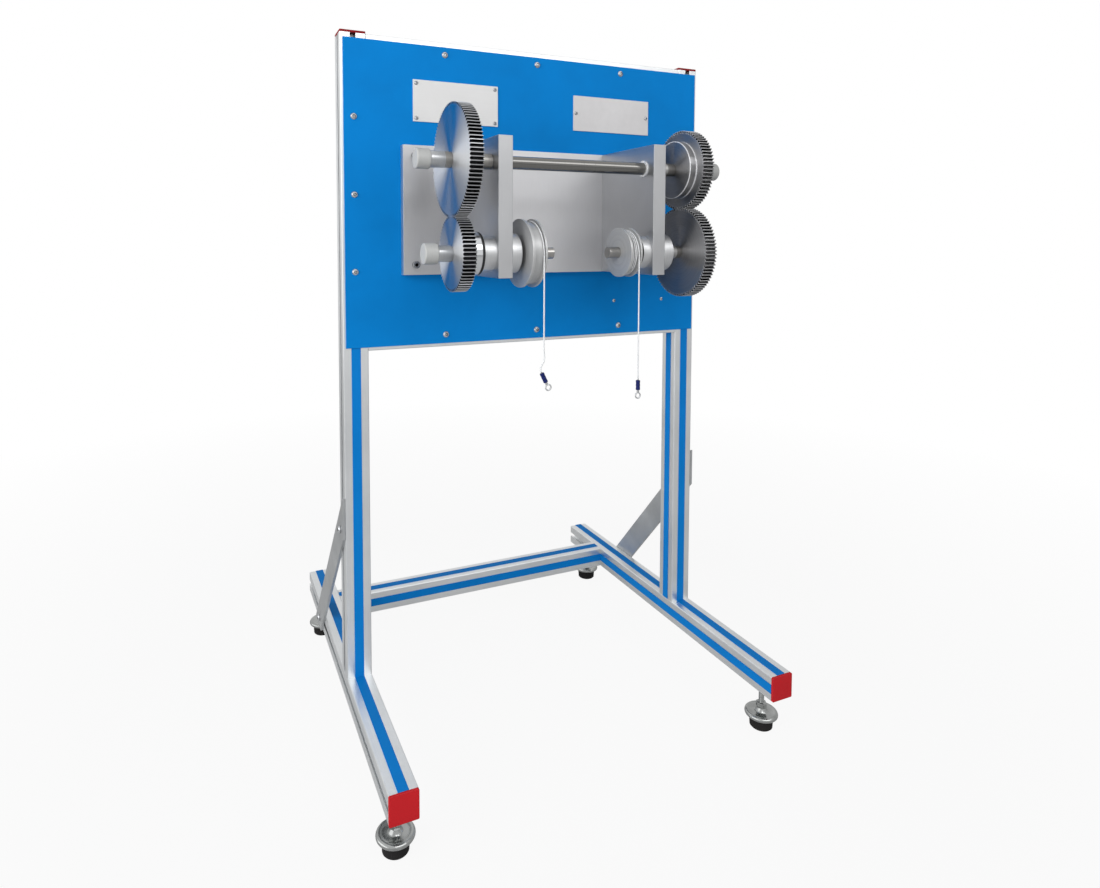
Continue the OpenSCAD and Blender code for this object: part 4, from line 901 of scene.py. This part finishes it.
left_along = Vector((0.002, 0.0, -0.004)).normalized()
right_along = Vector((0.0, 0.0, -1.0))
left_ferrule = ferrule_piece("left_ferrule", left_route[-1], left_along)
right_ferrule = ferrule_piece("right_ferrule", right_route[-1], right_along)
print("made", left_ferrule.name, right_ferrule.name)

# %% [markdown]
# The eye is a small ring on a short neck. A ring of round section is a torus, and a helper operator could
# add one, but it would be placed and turned afterwards. Here the two circles are written out, so the ring
# is made in place.

# %% Eyes
eye_metal = plated_metal("eye_metal", linear(206, 207, 208), linear(226, 227, 228), (0.3, 0.4),
                         rounding=0.0002)
EYE_DROP, EYE_RADIUS, WIRE_RADIUS = 0.027, 0.0048, 0.0012
EYE_SIDES, WIRE_SIDES = 40, 14
EYE_NECK = [(0.0165, 0.0026, 0.0014), (0.0176, 0.0025, 0.00125),
            (0.0215, 0.0023, 0.0012), (0.0226, 0.0020, 0.0011)]


def eye_piece(name, cord_end, along):
    """A ring of round wire, with a flat neck that runs up into the ferrule."""
    centre = cord_end + along * EYE_DROP
    across = Vector((0.0, 1.0, 0.0)).cross(along).normalized()
    shell = bmesh.new()
    rings = []
    for step in range(EYE_SIDES):
        angle = math.tau * step / EYE_SIDES
        outward = along * math.cos(angle) + across * math.sin(angle)
        ring = []
        for corner in range(WIRE_SIDES):
            turn_angle = math.tau * corner / WIRE_SIDES
            ring.append(shell.verts.new(centre + outward * (EYE_RADIUS + WIRE_RADIUS * math.cos(turn_angle))
                                        + Vector((0.0, WIRE_RADIUS * math.sin(turn_angle), 0.0))))
        rings.append(ring)
    join_rings(shell, rings, closed=True)
    ring_stack(shell, cord_end, along, EYE_NECK, sides=20)
    return finish_shell(shell, name, eye_metal)


left_eye = eye_piece("left_eye", left_route[-1], left_along)
right_eye = eye_piece("right_eye", right_route[-1], right_along)
print("made", left_eye.name, right_eye.name)

# %% [markdown]
# ## Levelling feet
#
# A foot is a pressed plate with a rolled rim, a neck, a hexagon and a stud. The CAD solid has a deeper
# dish than the real plate. A turned shape is a stack of rings whose radius goes out round the rim, back
# over the plate and up the neck, so the helper for the ferrules makes it too. The hexagon is a stack with
# six sides. Each foot stands where its CAD solid stands, and takes its middle and its top from that
# solid's box.

# %% Feet
RIM_MIDDLE, RIM_HEIGHT, RIM_RADIUS, RIM_STEPS = 25.5, 25.5, 4.5, 14
UNDERSIDE, STUD_MM = (23.0, 21.8), 5.0
PLATE_AND_NECK = [(29.8, 23.6), (29.45, 22.2), (29.15, 20.6), (29.0, 18.5), (29.0, 12.6), (29.2, 11.6),
                  (30.0, 10.6), (36.0, 7.5), (36.0, STUD_MM)]
HEXAGON = [(36.0, 8.7), (36.6, 9.8), (45.4, 9.8), (46.0, 8.7)]
TURNED_SIDES, HEXAGON_SIDES = 64, 6
SHARP_ANGLE = math.radians(40.0)


def foot_piece(name, node):
    """A foot round the middle of its CAD solid; the stations are heights and radii in millimetres."""
    low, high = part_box(node)
    middle = Vector((0.5 * (low[0] + high[0]), 0.5 * (low[1] + high[1]), 0.0))
    turned = [UNDERSIDE]
    for step in range(RIM_STEPS + 1):
        angle = math.pi * (step / RIM_STEPS - 0.5)
        turned.append((RIM_HEIGHT + RIM_RADIUS * math.sin(angle), RIM_MIDDLE + RIM_RADIUS * math.cos(angle)))
    turned += PLATE_AND_NECK
    turned.append((high[2] * 1000, STUD_MM))
    shell = bmesh.new()
    for stations, sides in ((turned, TURNED_SIDES), (HEXAGON, HEXAGON_SIDES)):
        rings = [(height / 1000, radius / 1000, radius / 1000) for height, radius in stations]
        ring_stack(shell, middle, Vector((0.0, 0.0, 1.0)), rings, sides=sides)
    piece = finish_shell(shell, name, foot_plate)
    piece.data.set_sharp_from_angle(angle=SHARP_ANGLE)
    return piece


for corner in ("front_left", "front_right", "rear_left", "rear_right"):
    foot = foot_piece(corner + "_levelling_foot", corner + "_foot")
    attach(foot, corner + "_leveller")
    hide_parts(corner + "_foot")
    print("made", foot.name)

# %% [markdown]
# ## Painted shade rings and a cord hole
#
# Behind each pulley a flat black ring lies on the bearing housing's end face. It is painted shade for the
# narrow gap between pulley and housing, and a plain ring, made from four circles. In the right pulley's
# groove there is a small dark hole for the cord's knot. A real hole would have to be cut into the CAD solid,
# so a flat black disc on the groove's floor stands for it, as the painted shade inside the hole.

# %% Shade rings and hole
housing_shade_black = coloured_skin("housing_shade_black", linear(24, 24, 25), (0.55, 0.7), 1500.0, 0.00003, rounding=0.0003)
# The cord hole's black is painted shade.
hole_shade_black = coloured_skin("hole_shade_black", linear(12, 12, 13), (0.8, 0.9), 900.0, 0.00001, rounding=0.0001)


def shade_ring_piece(name, face_x, outward, inner=0.0112, outer=0.0285, thick=0.0012, sides=72):
    """A flat ring round the lower axis, standing on a housing's end face and pointing outward along X; black
    as painted shade.
    """
    shell = bmesh.new()
    rings = []
    for x, radius in ((0.0, inner), (0.0, outer), (thick, outer), (thick, inner)):
        rings.append([shell.verts.new((face_x + outward * x,
                                       LOWER_AXIS[1] + radius * math.cos(math.tau * side / sides),
                                       LOWER_AXIS[2] + radius * math.sin(math.tau * side / sides)))
                      for side in range(sides)])
    join_rings(shell, rings, closed=True)
    piece = finish_shell(shell, name, housing_shade_black)
    for face in piece.data.polygons:
        face.use_smooth = False
    return piece


# Black rings on the housings' end faces paint the shade in the gaps behind the pulleys.
left_shade_ring = shade_ring_piece("left_housing_shade_ring", face_x=-0.119, outward=1.0)
right_shade_ring = shade_ring_piece("right_housing_shade_ring", face_x=0.1195, outward=-1.0)
# A flat black disc on the groove's floor paints the shade of the cord hole.
HOLE_X, HOLE_ANGLE = 0.097, math.radians(-50.0)
HOLE_RADIUS, HOLE_FLOOR, HOLE_THICK = 0.0016, 0.0376, 0.0006
hole_out = Vector((0.0, -math.cos(HOLE_ANGLE), math.sin(HOLE_ANGLE)))
hole_start = Vector((HOLE_X, LOWER_AXIS[1], LOWER_AXIS[2])) + hole_out * HOLE_FLOOR
shell = bmesh.new()
hole_rings = [(depth, HOLE_RADIUS, HOLE_RADIUS) for depth in (0.0, HOLE_THICK)]
ring_stack(shell, hole_start, hole_out, hole_rings, sides=24)
cord_hole = finish_shell(shell, "cord_hole", hole_shade_black)
for seal in (left_shade_ring, right_shade_ring):
    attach(seal, "stand")
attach(cord_hole, "right_drive")
print("made", left_shade_ring.name, right_shade_ring.name, cord_hole.name)

# %% [markdown]
# ## Joining the cords to the moving bodies
#
# The windings turn with their pulleys, and the ferrules and eyes go up and down.

# %% Cords on their bodies
for side, hanging, wound, ferrule, eye, route, straight in (
    ("left", left_hanging_cord, left_wound_cord, left_ferrule, left_eye, left_route, LEFT_STRAIGHT_STEPS),
    ("right", right_hanging_cord, right_wound_cord, right_ferrule, right_eye, right_route,
     RIGHT_STRAIGHT_STEPS),
):
    lift = side + "_lift"
    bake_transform(hanging)
    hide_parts(side + "_cord")
    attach(wound, side + "_drive")
    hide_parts(side + "_winding")
    for piece in (ferrule, eye):
        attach(piece, lift)
        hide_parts(side + "_cord_end")
    print(side, "cord declared,", round(route_length(route) * 1000, 1), "mm")

# %% [markdown]
# ## Floor, world and lamps
#
# The photograph has a white ground. A floor that only glows white would lose the shadow under the feet,
# and a floor that is lit to white would need too much light on the object. So the floor mixes both: a
# glow that the camera and mirrors see, and a plain white surface that keeps a soft shadow.

# %% White floor
WHITE = (1.0, 1.0, 1.0, 1.0)
MIRROR_SHARE = 0.25
FLOOR_REACH = 7.0
floor_mesh = bpy.data.meshes.new("studio_floor")
floor_corners = [(x * FLOOR_REACH, y * FLOOR_REACH, 0.0) for x, y in ((-1, -1), (1, -1), (1, 1), (-1, 1))]
floor_mesh.from_pydata(floor_corners, [], [(0, 1, 2, 3)])
floor = bpy.data.objects.new("studio_floor", floor_mesh)
scene.collection.objects.link(floor)
floor_white = bpy.data.materials.new("floor_white")
floor_white.use_nodes = True
tree = floor_white.node_tree
tree.nodes.clear()
ray = add(tree, "ShaderNodeLightPath")
mirror_ray = maths(tree, "MAXIMUM", ray.outputs["Is Glossy Ray"], ray.outputs["Is Transmission Ray"])
seen_ray = maths(tree, "MAXIMUM", ray.outputs["Is Camera Ray"],
                 maths(tree, "MULTIPLY", mirror_ray, MIRROR_SHARE))
matt = add(tree, "ShaderNodeBsdfDiffuse", {"Color": (0.4, 0.4, 0.4, 1.0)})
glow = add(tree, "ShaderNodeEmission", {"Color": WHITE, "Strength": 1.0})
away = add(tree, "ShaderNodeVectorMath", {0: add(tree, "ShaderNodeTexCoord").outputs["Object"]},
           operation="LENGTH").outputs[1]
share = between(tree, away, 0.8, 2.6, 0.92, 1.0)
mixed = add(tree, "ShaderNodeMixShader", {0: maths(tree, "MULTIPLY", seen_ray, share), 1: matt.outputs[0],
                                          2: glow.outputs[0]})
tree.links.new(mixed.outputs[0], add(tree, "ShaderNodeOutputMaterial").inputs["Surface"])
floor_mesh.materials.append(floor_white)
print("floor of", 2 * FLOOR_REACH, "m")

# %% World
world = bpy.data.worlds.new("studio_world")
scene.world = world
world.use_nodes = True
tree = world.node_tree
tree.nodes.clear()
ray = add(tree, "ShaderNodeLightPath")
seen_ray = maths(tree, "MAXIMUM", ray.outputs["Is Camera Ray"],
                 maths(tree, "MAXIMUM", ray.outputs["Is Glossy Ray"], ray.outputs["Is Transmission Ray"]))
direction = add(tree, "ShaderNodeTexCoord").outputs["Generated"]
right_side, far_side, height = add(tree, "ShaderNodeSeparateXYZ", {0: direction}).outputs
around = between(tree, far_side, -0.4, 0.3, 0.84, 0.76)
around = maths(tree, "MULTIPLY", around, between(tree, right_side, 0.35, 0.75, 1.0, 0.75))
left_window = between(tree, right_side, -0.9, -0.6, 2.0, 0.0)
overhead = between(tree, height, 0.55, 0.8, 0.0, 0.9)
bright_spots = maths(tree, "MAXIMUM", left_window, overhead)
room = maths(tree, "MAXIMUM", ray.outputs["Is Camera Ray"], maths(tree, "MAXIMUM", around, bright_spots))
backdrop = add(tree, "ShaderNodeBackground", {"Color": WHITE, "Strength": room})
soft_light = maths(tree, "MULTIPLY", between(tree, right_side, -1.0, 1.0, 0.95, 0.3),
                   between(tree, height, 0.3, 0.9, 1.0, 0.6))
ambient = add(tree, "ShaderNodeBackground", {"Color": WHITE, "Strength": soft_light})
mixed = add(tree, "ShaderNodeMixShader", {0: seen_ray, 1: ambient.outputs[0], 2: backdrop.outputs[0]})
tree.links.new(mixed.outputs[0], add(tree, "ShaderNodeOutputWorld").inputs["Surface"])
print("world ready")

# %% [markdown]
# The photograph's shadows are very soft, and round bars carry one broad highlight a little above their
# middle. So the room itself gives much of the light, more from the left. Large lamps stand at the left
# and near the camera, and a long strip lamp hangs in front, above and parallel to the shafts. A weaker
# lamp fills the right side. Only the strip shows in mirrors, so that flat metal isn't glared out.

# %% Lamps
def area_lamp(name, place, aim, size, power, in_mirrors=False):
    """A rectangular lamp that points at aim; sizes in metres, power in watts."""
    data = bpy.data.lights.new(name, "AREA")
    data.shape = "RECTANGLE"
    data.size, data.size_y = size
    data.energy = power
    lamp = bpy.data.objects.new(name, data)
    lamp.location = place
    lamp.rotation_euler = (Vector(aim) - Vector(place)).to_track_quat("-Z", "Y").to_euler()
    lamp.visible_glossy = in_mirrors
    scene.collection.objects.link(lamp)
    return lamp


left_lamp = area_lamp("left_lamp", (-2.9, -1.4, 1.6), (0.0, -0.1, 0.9), (2.2, 2.2), 95.0)
front_lamp = area_lamp("front_lamp", (-0.6, -3.3, 1.2), (0.0, -0.1, 0.9), (2.6, 2.0), 18.0)
strip_lamp = area_lamp("strip_lamp", (0.4, -2.6, 2.5), (0.0, -0.2, 0.9), (3.2, 1.2), 26.0, in_mirrors=True)
fill_lamp = area_lamp("fill_lamp", (2.2, -2.0, 1.5), (0.0, -0.1, 0.8), (1.6, 1.6), 5.0)
print("lamps:", left_lamp.name, front_lamp.name, strip_lamp.name, fill_lamp.name)
